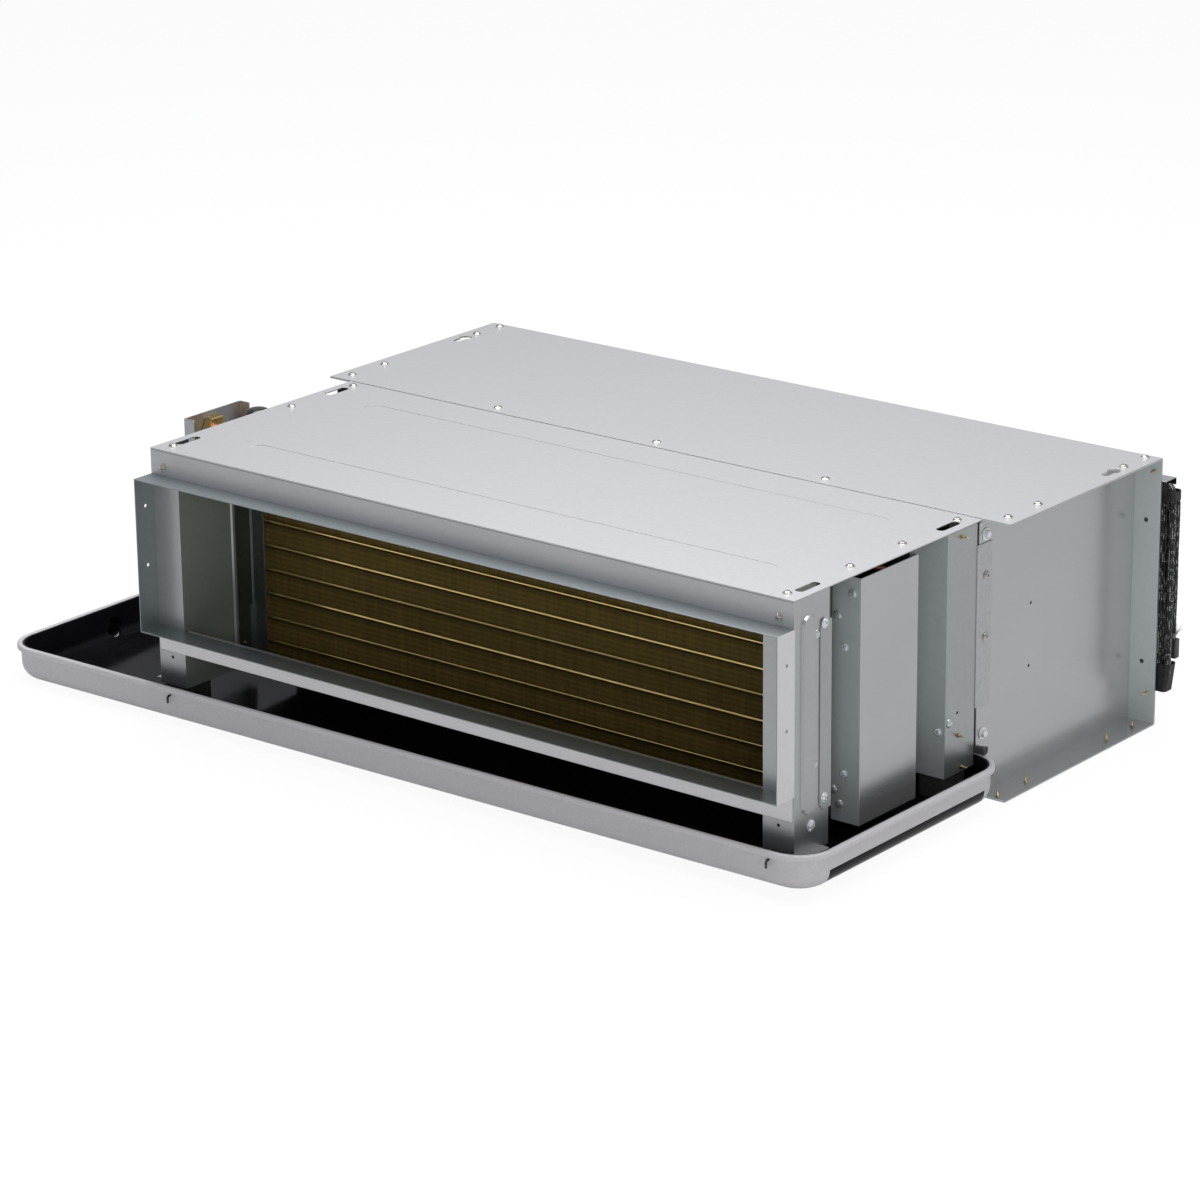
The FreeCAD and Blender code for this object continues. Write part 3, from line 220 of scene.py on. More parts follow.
def ended(tree, given, last, geometry):
    """Last nodes of a geometry tree: real meshes, in the finish."""
    real = add_node(tree, "GeometryNodeRealizeInstances", geometry)
    filled(tree, last, add_node(tree, "GeometryNodeSetMaterial", real, material=given["Finish"]))


def body_of(name):
    """Body that a CAD node belongs to."""
    return next(body for body, members in frame["record"]["behaviour"]["bodies"].items() if name in members)


def claim(piece, *replaced):
    """Let a piece ride on the body of the CAD nodes that it replaces, and hide those nodes."""
    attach(piece, body_of(replaced[0]))
    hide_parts(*replaced)


def grown(piece, tree, name, finish, *replaced, **sizes):
    """Run a geometry tree on a piece with a finish and sizes, and keep the result as a plain mesh piece."""
    growth = piece.modifiers.new(name, "NODES")
    growth.node_group = tree
    sizes["Finish"] = finish
    for socket in tree.interface.items_tree:
        if socket.in_out == "INPUT" and socket.name in sizes:
            growth[socket.identifier] = sizes[socket.name]
    bpy.context.view_layer.update()
    ready = piece.evaluated_get(bpy.context.evaluated_depsgraph_get())
    mesh = bpy.data.meshes.new_from_object(ready)
    mesh.name = name
    bpy.data.objects.remove(piece)
    made = stood(name, mesh)
    if replaced:
        claim(made, *replaced)
    return made


def crossed(tree, turn_share, threads, along, pitch):
    """Product of the two waves that wind round a sleeve, one each way: high where threads cross."""
    turns, runs = worked(tree, "MULTIPLY", turn_share, threads), worked(tree, "MULTIPLY", along, pitch)
    waves = [worked(tree, "COSINE", worked(tree, "MULTIPLY", worked(tree, way, turns, runs), math.tau))
             for way in ("ADD", "SUBTRACT")]
    return worked(tree, "MULTIPLY", *waves)


def braid_group():
    """Over-and-under threads from a sleeve's own map: their height, and painted glints, white highlights in the
    colour, on some of them.
    """
    group, given, last = new_tree("braided_threads", "Height", "Glint", Threads=5.0, Pitch=330.0,
                                  Vector=(0.0, 0.0, 0.0))
    parts = add_node(group, "ShaderNodeSeparateXYZ", given["Vector"]).outputs
    crossing = crossed(group, parts[0], given["Threads"], parts[1], given["Pitch"])
    height = stepped(group, crossing, from_min=-1.0, from_max=1.0)
    painted_glint_scatter = add_node(group, "ShaderNodeTexNoise", scaled(group, given["Vector"], (9.0, 160.0, 1.0)),
                     scale=1.0, detail=1.0)
    painted_glint = worked(group, "MULTIPLY", stepped(group, painted_glint_scatter, from_min=0.50, from_max=0.58),
                   stepped(group, height, from_min=0.80, from_max=0.94))
    filled(group, last, height, painted_glint)
    return group


sleeve_finish, tree, shader = new_finish("braided_sleeve")
braid = add_node(tree, "ShaderNodeGroup", node_tree=braid_group(),
                 vector=add_node(tree, "ShaderNodeUVMap", uv_map="wrap")).outputs
# Painted highlight: the sleeve's colour turns white at the glints.
filled(tree, shader, base_color=between(tree, braid["Glint"], (0.003, 0.003, 0.004), (1.0, 1.0, 1.0)),
       normal=add_node(tree, "ShaderNodeBump", strength=0.8, distance=0.0006, height=braid["Height"]),
       roughness=0.42)


def kept(tree, geometry, label, field):
    """Hold a field on a geometry under a label, for later nodes."""
    node = add_node(tree, "GeometryNodeCaptureAttribute", geometry)
    node.capture_items.new("FLOAT", label)
    tree.links.new(field, node.inputs[label])
    return node.outputs


tree, given, last = new_tree("sleeve_on_a_route", Radius=0.5 * SLEEVE, Step=0.0012, Sides=25, Relief=0.00022,
                             Threads=5.0, Pitch=330.0)
spaced = add_node(tree, "GeometryNodeResampleCurve", given["Geometry"], mode="LENGTH", length=given["Step"])
circle = add_node(tree, "GeometryNodeCurveArc", resolution=given["Sides"], radius=given["Radius"],
                  sweep_angle=math.tau)
place = add_node(tree, "GeometryNodeSplineParameter").outputs
along, around = kept(tree, spaced, "Along", place["Length"]), kept(tree, circle, "Round", place["Factor"])
tube = add_node(tree, "GeometryNodeCurveToMesh", along[0], around[0])
pair = add_node(tree, "ShaderNodeCombineXYZ", around["Round"], along["Along"])
store = add_node(tree, "GeometryNodeStoreNamedAttribute", tube, data_type="FLOAT2", domain="CORNER", name="wrap",
                 value=pair)
crossing = crossed(tree, around["Round"], given["Threads"], along["Along"], given["Pitch"])
raised = add_node(tree, "ShaderNodeVectorMath", add_node(tree, "GeometryNodeInputNormal"), operation="SCALE",
                  scale=worked(tree, "MULTIPLY", crossing, given["Relief"]))
lift = add_node(tree, "GeometryNodeSetPosition", store, offset=raised)
weld = add_node(tree, "GeometryNodeMergeByDistance", lift, distance=0.00002)
ended(tree, given, last, add_node(tree, "GeometryNodeSetShadeSmooth", weld))
harness = grown(harness, tree, "harness_sleeve", sleeve_finish, "harness_lead", "harness_hank")


# Finishes that several pieces share
# A metal or plastic drifts between two colours and two roughness values. Foam is matt and black.

def dressed(tree, shader, tone, height, dark, light, rough, metal, relief, depth):
    """Colour and roughness that drift between two values with a tone, and a bump from a height."""
    filled(tree, shader, base_color=between(tree, tone, dark, light), metallic=metal,
           roughness=stepped(tree, tone, to_min=rough[0], to_max=rough[1]),
           normal=add_node(tree, "ShaderNodeBump", strength=relief, distance=depth, height=height))


def metal_finish(name, dark, light, rough, scale, metal=1.0, stretch=(1.0, 1.0, 1.0), relief=0.1):
    """Metal whose colour and roughness drift between two values in a noise of a given scale."""
    finish, tree, shader = new_finish(name)
    place = add_node(tree, "ShaderNodeTexCoord").outputs["Object"]
    spread = add_node(tree, "ShaderNodeMapping", place, scale=stretch)
    noise = add_node(tree, "ShaderNodeTexNoise", spread, scale=scale, detail=4.0, roughness=0.6)
    tone = stepped(tree, noise, from_min=0.3, from_max=0.7)
    dressed(tree, shader, tone, noise, dark, light, rough, metal, relief, 0.0002)
    return finish


def plastic_finish(name, dark, light, rough, scale, relief=0.15, coat=0.0):
    """Plastic, rubber or paint with a fine skin."""
    finish = metal_finish(name, dark, light, rough, scale, metal=0.0, relief=relief)
    finish.node_tree.nodes["Principled BSDF"].inputs["Coat Weight"].default_value = coat
    return finish


foam = plastic_finish("closed_cell_foam", (0.02, 0.02, 0.021), (0.07, 0.07, 0.072), (0.95, 0.85), 900.0, relief=0.6)


# Sheet metal of the casing
# Hot-dip galvanised steel, 1 to 1.2 mm thick, cut and folded. The zinc froze in small spangle and was
# rolled nearly flat. The covers are a lighter, smoother coil than the posts and the inner sheets.

def zinc_group():
    """Zinc coating: spangle cells, rolling lines and cloudy patches as one tone, and a fine height."""
    group, given, last = new_tree("zinc_spangle", "Tone", "Height", Cells=240.0, Spangle=0.12, Rolling=0.10,
                                  Clouds=0.45)
    place = add_node(group, "ShaderNodeTexCoord").outputs["Object"]
    cells = add_node(group, "ShaderNodeTexVoronoi", place, feature="F1", scale=given["Cells"])
    shade = add_node(group, "ShaderNodeSeparateXYZ", cells.outputs["Color"])
    grain = add_node(group, "ShaderNodeTexNoise", place, scale=1500.0, detail=2.0)
    lines = add_node(group, "ShaderNodeTexNoise", scaled(group, place, (9.0, 420.0, 420.0)), scale=1.0, detail=3.0)
    patches = add_node(group, "ShaderNodeTexNoise", place, scale=7.0, detail=4.0, roughness=0.6)
    total = 0.5
    for source, label in ((shade, "Spangle"), (lines, "Rolling"), (patches, "Clouds"), (grain, "Rolling")):
        total = worked(group, "MULTIPLY_ADD", worked(group, "SUBTRACT", source, 0.5), given[label], total)
    total.use_clamp = True
    filled(group, last, total, worked(group, "MULTIPLY_ADD", shade, 0.4, grain))
    return group


zinc_spangle = zinc_group()


def zinc_finish(name, dark, light, rough, metal=0.85, cells=240.0, spangle=0.12, rolling=0.10, clouds=0.45,
                relief=0.02):
    """Galvanised finish between a dark and a light tone, with roughness from rough[0] to rough[1]."""
    finish, tree, shader = new_finish(name)
    zinc = add_node(tree, "ShaderNodeGroup", node_tree=zinc_spangle, cells=cells, spangle=spangle, rolling=rolling,
                    clouds=clouds).outputs
    dressed(tree, shader, zinc["Tone"], zinc["Height"], dark, light, rough, metal, relief, 0.0003)
    return finish


cover_sheet = zinc_finish("cover_sheet", (0.47, 0.47, 0.48), (0.62, 0.62, 0.636), (0.46, 0.36), metal=0.8)
collar_sheet = zinc_finish("collar_sheet", (0.25, 0.28, 0.29), (0.38, 0.42, 0.435), (0.40, 0.28))
casing_sheet = zinc_finish("casing_sheet", (0.36, 0.38, 0.38), (0.50, 0.52, 0.52), (0.42, 0.32))
pale_sheet = zinc_finish("pale_sheet", (0.41, 0.42, 0.425), (0.55, 0.56, 0.57), (0.38, 0.27), metal=0.85)
plenum_sheet = zinc_finish("plenum_sheet", (0.45, 0.455, 0.46), (0.56, 0.565, 0.572), (0.28, 0.22), metal=0.8,
                           spangle=0.06, relief=0.003)
strap_sheet = zinc_finish("strap_sheet", (0.40, 0.41, 0.425), (0.58, 0.59, 0.61), (0.38, 0.28), cells=420.0,
                          spangle=0.35, relief=0.04)
# Painted light: a lighter copy of the zinc for the lower front rail and the outer ends of the collar.
rail_sheet = zinc_finish("rail_sheet", (0.62, 0.62, 0.63), (0.80, 0.80, 0.81), (0.44, 0.34), metal=0.75)
# Painted light and shade: a greener, less metallic copy of the zinc for the faces that look forward.
niche_sheet = zinc_finish("niche_sheet", (0.50, 0.55, 0.54), (0.66, 0.71, 0.70), (0.46, 0.36), metal=0.6)
# Painted shade: a nearly black copy of the zinc, for sheets deep in shade and the seam under the lip.
deep_sheet = zinc_finish("deep_sheet", (0.10, 0.115, 0.105), (0.17, 0.185, 0.17), (0.42, 0.32), spangle=0.3)
# Painted shade: a darker, greener copy of the zinc for the inner walls of the front posts.
wall_sheet = zinc_finish("wall_sheet", (0.24, 0.265, 0.24), (0.34, 0.365, 0.335), (0.44, 0.34), metal=0.5)
# Painted light: a lighter copy of the zinc for the pressed domes.
clinch_zinc = zinc_finish("clinch_zinc", (0.50, 0.54, 0.54), (0.64, 0.68, 0.68), (0.30, 0.24), metal=0.75)
inner_sheet = zinc_finish("inner_sheet", (0.24, 0.25, 0.24), (0.36, 0.375, 0.36), (0.40, 0.30), spangle=0.3)


def bare(name, shape):
    """Object of a bmesh, with its faces turned outwards and no finish."""
    bmesh.ops.recalc_face_normals(shape, faces=shape.faces)
    mesh = bpy.data.meshes.new(name)
    shape.to_mesh(mesh)
    shape.free()
    return stood(name, mesh)


def smoothed(mesh, sharp):
    """Shade a mesh smooth between edges that are sharper than an angle in degrees."""
    for face in mesh.polygons:
        face.use_smooth = True
    mesh.set_sharp_from_angle(angle=math.radians(sharp))


def placed(name, shape, finish, *replaced, sharp=35, edge=0.0):
    """Make a piece of a bmesh: smooth between sharp edges, in place of one or more CAD nodes."""
    piece = bare(name, shape)
    if sharp:
        smoothed(piece.data, sharp)
    piece.data.materials.append(finish)
    if edge:
        rounded = piece.modifiers.new("rounded_edges", "BEVEL")
        rounded.width, rounded.segments = edge, 2
        rounded.limit_method, rounded.angle_limit = "ANGLE", math.radians(28)
    claim(piece, *replaced)
    return piece


def node_shape(name):
    """Bmesh of a CAD node, with its corners joined."""
    shape = bmesh.new()
    shape.from_mesh(nodes[name].data)
    bmesh.ops.remove_doubles(shape, verts=shape.verts, dist=0.000002)
    return shape


def softened(name, finish, edge, change=None, *others):
    """Copy of a CAD node with its facets merged, changed by a function, and its edges rounded.
    Others are pairs of a further finish and a test of the faces that get it."""
    shape = node_shape(name)
    bmesh.ops.dissolve_limit(shape, angle_limit=math.radians(0.6), verts=shape.verts, edges=shape.edges)
    if change:
        change(shape)
    shape.normal_update()
    for face in shape.faces:
        for k, (_, test) in enumerate(others):
            if test(face):
                face.material_index = k + 1
    piece = placed(name + "_finished", shape, finish, name, sharp=0, edge=edge)
    for other, _ in others:
        piece.data.materials.append(other)
    return piece


sheet_pieces = {
    cover_sheet: ("plenum_top_cover",),
    pale_sheet: ("connection_plate",),
    # The lower front rail gets the lighter copy of the zinc: painted light.
    rail_sheet: ("lower_front_rail",),
    casing_sheet: ("post_closers", "plenum_bottom_cover", "return_frame"),
    inner_sheet: ("fan_deck", "motor_bracket", "capacitor_clip"),
    # Painted shade: the coil end plates and the seal strips get the nearly black copy of the zinc.
    deep_sheet: ("coil_end_plates", "air_seal_strips"),
}
for finish, names in sheet_pieces.items():
    for name in names:
        softened(name, finish, 0.0006)


# Posts and the cover of the bends
# Walls that stand behind another sheet get a darker, greener copy of the zinc as painted shade, and
# faces that look forward a greener copy as painted light and shade. Pressed clinch domes, 9 mm wide, sit
# beside the screws in a lighter copy as painted light, and the bead of the front posts stands 1.2 mm proud.
# The inner wall has a notch at its foot.

UNIT_MIDDLE, POST_REACH = 0.093, 0.393
post_face, wall_end, wall_rib, notch_top = 0.486, -0.1802, -0.1980, 0.0925


def wall_between(shape, low, high):
    """Faces from one closed loop of corners to another."""
    for k in range(len(low)):
        j = (k + 1) % len(low)
        corners = list(dict.fromkeys((low[k], low[j], high[j], high[k])))
        if len(corners) > 2:
            shape.faces.new(corners)


def rod(length, radius):
    """Profile of a plain round rod."""
    return [(0.0, 0.0), (0.0, radius), (length, radius), (length, 0.0)]


def turn(shape, profile, place, axis, steps, smooth=False):
    """Add a turned solid to a bmesh, or to a new one: the closed profile lists a distance along the
    axis and a radius."""
    shape = bmesh.new() if shape is None else shape
    old = set(shape.faces)
    lift = Vector(axis).to_track_quat("Z", "Y").to_matrix()
    rings = []
    for along, radius in profile:
        if radius:
            angles = [math.tau * k / steps for k in range(steps)]
            spots = [Vector((radius * math.cos(a), radius * math.sin(a), along)) for a in angles]
            rings.append([shape.verts.new(Vector(place) + lift @ spot) for spot in spots])
        else:
            rings.append([shape.verts.new(Vector(place) + lift @ Vector((0, 0, along)))] * steps)
    for low, high in zip(rings, rings[1:] + rings[:1]):
        wall_between(shape, low, high)
    if smooth:
        for face in set(shape.faces) - old:
            face.smooth = True
    return shape


def is_right(shape):
    """Whether a sheet belongs to the right end."""
    return max(corner.co.x for corner in shape.verts) > 0.4


def sliced(shape, axis, *levels):
    """Cut the faces of a sheet at levels along an axis."""
    for level in levels:
        normal = Vector([1.0 if k == axis else 0.0 for k in range(3)])
        bmesh.ops.bisect_plane(shape, geom=shape.verts[:] + shape.edges[:] + shape.faces[:],
                               plane_co=normal * level, plane_no=normal)


def clinches(shape, spots, axis):
    """Add low pressed domes to a sheet."""
    for spot in spots:
        turn(shape, [(-0.0004, 0.0), (-0.0004, 0.0046), (0.0002, 0.0045), (0.0008, 0.0042), (0.0014, 0.0036),
                     (0.0019, 0.0027), (0.0022, 0.0015), (0.0023, 0.0)], spot, axis, 28, smooth=True)


def front_post(shape):
    """Raise the bead, lengthen the inner wall above its notch, and press the domes of the right post."""
    sliced(shape, 2, notch_top, notch_top + 0.0004)
    sliced(shape, 1, wall_rib)
    for corner in shape.verts:
        if abs(corner.co.x - UNIT_MIDDLE) - POST_REACH > 0.0001:
            corner.co.x += math.copysign(0.0008, corner.co.x - UNIT_MIDDLE)
        if abs(corner.co.y - wall_end) < 0.0002 and corner.co.z > notch_top + 0.0002:
            corner.co.y += 0.0036
    if is_right(shape):
        clinches(shape, ((post_face, -0.2439, 0.2357), (post_face, -0.2459, 0.1125)), (1, 0, 0))


def back_post(shape):
    """Press the dome of the right post."""
    if is_right(shape):
        clinches(shape, ((post_face, -0.0319, 0.0888),), (1, 0, 0))


def bend_cover(shape):
    """Leave a gap below the top panel, and press the domes of the front wall."""
    for corner in shape.verts:
        if corner.co.z > 0.270:
            corner.co.z = 0.2695
    clinches(shape, [(x, -0.1758, z) for x, z in ((0.4764, 0.2539), (0.4600, 0.2300), (0.4565, 0.0609),
                                                  (0.4634, 0.0478))], (0, -1, 0))


def looks_ahead(face):
    """The flat faces that look forwards."""
    return face.normal.y < -0.9 and not face.smooth


def is_added(face):
    """The faces that a change adds, such as pressed domes."""
    return face.smooth


def looks_in(face):
    """The inner walls of the front posts."""
    return abs(face.normal.x) > 0.9 and abs(face.calc_center_median().x - UNIT_MIDDLE) < 0.3595


def behind_rib(face):
    """The end of those walls, behind the rib."""
    return looks_in(face) and face.calc_center_median().y > wall_rib


def side_web(shape):
    """Bring the front edge of the side close to the coil box, and put dark discs behind its holes as painted shade.
    """
    web_low, web_high, trim = 0.0560, 0.2730, 0.0062
    sliced(shape, 2, web_low, web_high)
    for corner in shape.verts:
        if corner.co.y < 0.02 and web_low - 0.0001 < corner.co.z < web_high + 0.0001:
            corner.co.y -= trim
    way = 1 if is_right(shape) else -1
    # Dark discs behind the holes, in the foam finish: painted shade.
    for y, z in ((0.1024, 0.1086), (0.1040, 0.1715)):
        turn(shape, rod(0.0004, 0.0032), (UNIT_MIDDLE + way * 0.3916, y, z), (way, 0, 0), 20, smooth=True)
    for z in (0.0643, 0.2106):
        turn(shape, rod(0.0002, 0.0025), (UNIT_MIDDLE + way * 0.4068, 0.2850, z), (0, 1, 0), 20, smooth=True)


def narrow_strap(shape):
    """Trim the plates to the width that the photograph shows."""
    for corner in shape.verts:
        if corner.co.y > 0.03:
            corner.co.y -= 0.005


def hem(shape):
    """Add a dark strip under the folded edge of the lip, as painted shade in the seam."""
    seam = bmesh.ops.create_cube(shape, size=1.0)["verts"]
    for corner in seam:
        corner.co = Vector((UNIT_MIDDLE + 0.784 * corner.co.x, -0.2770 + 0.0006 * corner.co.y,
                            0.2742 + 0.0005 * corner.co.z))
    for face in {face for corner in seam for face in corner.link_faces}:
        face.smooth = True


def foam_lump(shape):
    """Let the end of the strip bulge out above the corner of the pan."""
    lump = bmesh.ops.create_cube(shape, size=1.0)["verts"]
    bmesh.ops.subdivide_edges(shape, edges=list({e for v in lump for e in v.link_edges}), cuts=2, use_grid_fill=True)
    chance = random.Random(5)
    for corner in shape.verts:
        if max(abs(c) for c in corner.co) > 0.49 and corner.co.y > -0.51 and corner.co.length > 0.49:
            shake = [chance.uniform(-0.09, 0.09) for _ in range(3)]
            rise = 0.5 * max(0.0, corner.co.x + shake[0]) ** 2
            corner.co = Vector((0.4902 + 0.0125 * (corner.co.x + shake[0]),
                                0.0144 + 0.0060 * (corner.co.y + 0.4 * shake[1]),
                                0.0495 + 0.0064 * (corner.co.z + shake[2] + rise * (corner.co.z > 0))))


# Faces that look forward get painted light and shade, and the pressed domes a lighter copy as painted light.
domes, front_painted_shading = (clinch_zinc, is_added), (niche_sheet, looks_ahead)
for side in ("left", "right"):
    # The inner walls of the front posts get painted shade, darker still behind the rib.
    softened("front_post_" + side, pale_sheet, 0.0009, front_post, (wall_sheet, looks_in), (deep_sheet, behind_rib),
             domes)
    softened("back_post_" + side, casing_sheet, 0.0006, back_post, front_painted_shading, domes)
    # The discs behind the holes of the sides are painted shade.
    softened("plenum_side_" + side, plenum_sheet, 0.0012, side_web, front_painted_shading, (foam, is_added))
softened("return_bend_cover", plenum_sheet, 0.0006, bend_cover, front_painted_shading, domes)
softened("joint_straps", strap_sheet, 0.0005, narrow_strap)
# The strip under the lip gets the nearly black copy of the zinc: painted shade.
softened("coil_top_panel", cover_sheet, 0.0006, hem, (deep_sheet, is_added))
softened("plenum_seal", foam, 0.0004, foam_lump)


# Discharge collar
# One open ring of folded sheet, 786 by 159 mm and 26 mm deep, with two duct-screw holes in each side
# and a small folded lap in its lower corners.

def carved(shape, cutter):
    """A bmesh with the shape of another one cut out of it."""
    body, tool = bare("body", shape), bare("tool", cutter)
    carve = body.modifiers.new("carve", "BOOLEAN")
    carve.object, carve.operation, carve.solver, carve.use_self = tool, "DIFFERENCE", "EXACT", True
    bpy.context.view_layer.update()
    result = bmesh.new()
    result.from_mesh(body.evaluated_get(bpy.context.evaluated_depsgraph_get()).to_mesh())
    for piece in (body, tool):
        bpy.data.objects.remove(piece)
    return result


collar_front, collar_back, collar_low, collar_high = -0.3022, -0.2762, 0.090, 0.2493
hole_y, hole_heights, sheet = -0.2882, (0.157, 0.2185), 0.001
shape = bmesh.new()
loops = []
for inset in (0.0, sheet):
    for y in (collar_front, collar_back):
        low, high, reach = collar_low + inset, collar_high - inset, POST_REACH - inset
        loops.append([shape.verts.new((UNIT_MIDDLE + side * reach, y, z))
                      for side, z in ((-1, low), (1, low), (1, high), (-1, high))])
for a, b in ((0, 1), (1, 3), (3, 2), (2, 0)):
    wall_between(shape, loops[a], loops[b])
for side in (-1, 1):
    x = UNIT_MIDDLE + side * (POST_REACH - sheet)
    lap = [shape.verts.new((x - side * reach, y, collar_low + sheet + up)) for up in (0.0, 0.0004)
           for reach, y in ((0.0, collar_front + 0.0005), (0.016, collar_front + 0.0005), (0.0, collar_back))]
    shape.faces.new(lap[:3])
    shape.faces.new(lap[3:])
    wall_between(shape, lap[:3], lap[3:])
cutter = bmesh.new()
for z in hole_heights:
    turn(cutter, rod(0.8, 0.00175), (UNIT_MIDDLE - 0.4, hole_y, z), (1, 0, 0), 20)
shape = carved(shape, cutter)
shape.normal_update()
# The outer ends of the collar get the lighter copy of the zinc: painted light.
for face in shape.faces:
    if abs(face.normal.x) > 0.9 and abs(face.calc_center_median().x - UNIT_MIDDLE) > POST_REACH - 0.4 * sheet:
        face.material_index = 1
collar = placed("duct_collar", shape, collar_sheet, "discharge_collar", sharp=0, edge=0.0004)
collar.data.materials.append(rail_sheet)


# Coil
# Gold-coated aluminium fins, pressed on four staggered rows of 9.52 mm copper tube. The foil is
# 0.16 mm thick, every 2.1 mm, and its edge is bent flat by a swage in front of each tube of the first row.
# Its colour holds a painted highlight along each tube, fainter ones between, and a painted shadow under each tube.

TUBE_PITCH = 0.0254
first_tube, lowest_fin, highest_fin = 0.2611, 0.0325, 0.2738
fin_front, fin_back, fin_left, fin_right = -0.1740, -0.0884, -0.2638, 0.4498
fin_pitch = 0.0021

foil, tree, shader = new_finish("gold_foil")
place = add_node(tree, "ShaderNodeTexCoord").outputs["Object"]
stripe = add_node(tree, "ShaderNodeTexNoise", scaled(tree, place, (480.0, 60.0, 14.0)), scale=1.0, detail=2.0)
height = add_node(tree, "ShaderNodeSeparateXYZ", place).outputs[2]


def banded(level, pitch, none, full, gain):
    """Share of a band that repeats with a pitch, from no effect to the full gain at two distances."""
    apart = worked(tree, "PINGPONG", worked(tree, "SUBTRACT", height, level), pitch / 2)
    return stepped(tree, apart, from_min=none, from_max=full, to_min=0.0, to_max=gain)


# Painted light and shade in the foil's colour: a pale band along each tube of the first row, fainter pale bands every
# fifth of the tube pitch, and a dark band under each tube.
painted_tube_highlight = banded(first_tube, TUBE_PITCH, 0.0011, 0.00033, 1.0)
painted_fine_highlight = banded(first_tube, TUBE_PITCH / 5, 0.0007, 0.00021, 0.30)
painted_tube_shadow = banded(first_tube - 0.0028, TUBE_PITCH, 0.0052, 0.0012, 0.62)
gold = between(tree, stripe, (0.30, 0.21, 0.055), (0.66, 0.49, 0.15))
gold = between(tree, painted_tube_shadow, gold, (0.09, 0.055, 0.015))
gold = between(tree, worked(tree, "MAXIMUM", painted_tube_highlight, painted_fine_highlight), gold, (1.0, 0.86, 0.42))
filled(tree, shader, base_color=gold, roughness=stepped(tree, stripe, to_min=0.30, to_max=0.5), metallic=0.8)

foil_half, swage_depth, swage_lean = 0.00008, 0.0030, 0.0009
levels = [(lowest_fin, 0.0)]
for n in range(8, -1, -1):
    middle = first_tube - n * TUBE_PITCH
    levels += [(middle - 0.0030, 0.0), (middle - 0.0008, 1.0), (middle + 0.0012, 1.0), (middle + 0.0026, 0.0)]
levels.append((highest_fin, 0.0))
shape = bmesh.new()
skins = [[[shape.verts.new((side * foil_half + lean * swage_lean * reach, y, z)) for z, lean in levels]
          for y, reach in ((fin_front, 1.0), (fin_front + swage_depth, 0.15), (fin_back, 0.0))]
         for side in (-1, 1)]
near, far = skins
strips = [pair for skin in skins for pair in zip(skin, skin[1:])] + [(near[0], far[0]), (near[2], far[2])]
for low, high in strips:
    for k in range(len(levels) - 1):
        shape.faces.new([low[k], high[k], high[k + 1], low[k + 1]])
for k in (0, len(levels) - 1):
    for column in (0, 1):
        shape.faces.new([near[column][k], near[column + 1][k], far[column + 1][k], far[column][k]])
one_fin = bare("one_fin", shape)

tree, given, last = new_tree("fin_stack", First=(fin_left + 0.0012, 0.0, 0.0), Step=(fin_pitch, 0.0, 0.0),
                             Count=int((fin_right - fin_left) / fin_pitch))
row = add_node(tree, "GeometryNodeMeshLine", mode="OFFSET", start_location=given["First"], offset=given["Step"],
               count=given["Count"])
ended(tree, given, last, add_node(tree, "GeometryNodeInstanceOnPoints", row, instance=given["Geometry"]))
grown(one_fin, tree, "coil_fins", foil, "coil_fin_pack")

collar_depth, collar_half = 0.0006, 0.0009
shape = bmesh.new()
for n in range(9):
    z = first_tube - n * TUBE_PITCH
    corners = [(fin_front - collar_depth, z - 0.7 * collar_half), (fin_front - collar_depth, z + 0.4 * collar_half),
               (fin_front - 0.5 * collar_depth, z + collar_half), (fin_front + 2 * collar_depth, z + collar_half),
               (fin_front + 2 * collar_depth, z - collar_half)]
    ends = [[shape.verts.new((x, y, height)) for y, height in corners] for x in (fin_left, fin_right)]
    shape.faces.new(ends[0])
    shape.faces.new(ends[1])
    wall_between(shape, *ends)
# Painted light: the collars get a far brighter copy of the foil's gold, so that they shine as lines.
collar_gold = metal_finish("collar_gold", (0.90, 0.64, 0.22), (1.0, 0.82, 0.38), (0.22, 0.14), 400.0,
                           stretch=(0.2, 1.0, 1.0))
placed("fin_collars", shape, collar_gold, "coil_fin_pack", sharp=20)


# Copper pipework
# Hairpin bends of 9.52 mm tube, swollen where they are brazed into the coil, two 19 mm manifolds with
# spun ends, their six feeds, and the two pipes that run to the brass fittings.

TUBE_RADIUS, tube_rows = 0.00476, (-0.1642, -0.1422, -0.1202, -0.0982)
copper = metal_finish("copper", (0.42, 0.16, 0.08), (0.78, 0.42, 0.26), (0.36, 0.22), 60.0)
brass = metal_finish("brass", (0.55, 0.36, 0.12), (0.86, 0.66, 0.32), (0.30, 0.18), 90.0)
steel = metal_finish("ground_steel", (0.48, 0.48, 0.49), (0.70, 0.70, 0.71), (0.34, 0.22), 300.0)

pipe_tree, given, last = new_tree("pipe_on_a_path", Radius=0.005, Sides=20)
circle = add_node(pipe_tree, "GeometryNodeCurvePrimitiveCircle", resolution=given["Sides"], radius=given["Radius"])
tube = add_node(pipe_tree, "GeometryNodeCurveToMesh", given["Geometry"], circle, fill_caps=True)
ended(pipe_tree, given, last, add_node(pipe_tree, "GeometryNodeSetShadeSmooth", tube))


def pipes(name, paths, radius, finish, *replaced, sides=20):
    """Smooth tubes along paths of (place, swell) points, in place of CAD nodes."""
    route = bpy.data.curves.new(name, "CURVE")
    route.dimensions = "3D"
    for path in paths:
        line = route.splines.new("POLY")
        line.points.add(len(path) - 1)
        for point, (place, swell) in zip(line.points, path):
            point.co, point.radius = (*place, 1), swell
    return grown(stood(name, route), pipe_tree, name, finish, *replaced, Radius=radius, Sides=sides)


plate_right, plate_left = 0.451, -0.265
header_x, header_radius = -0.322, 0.0095


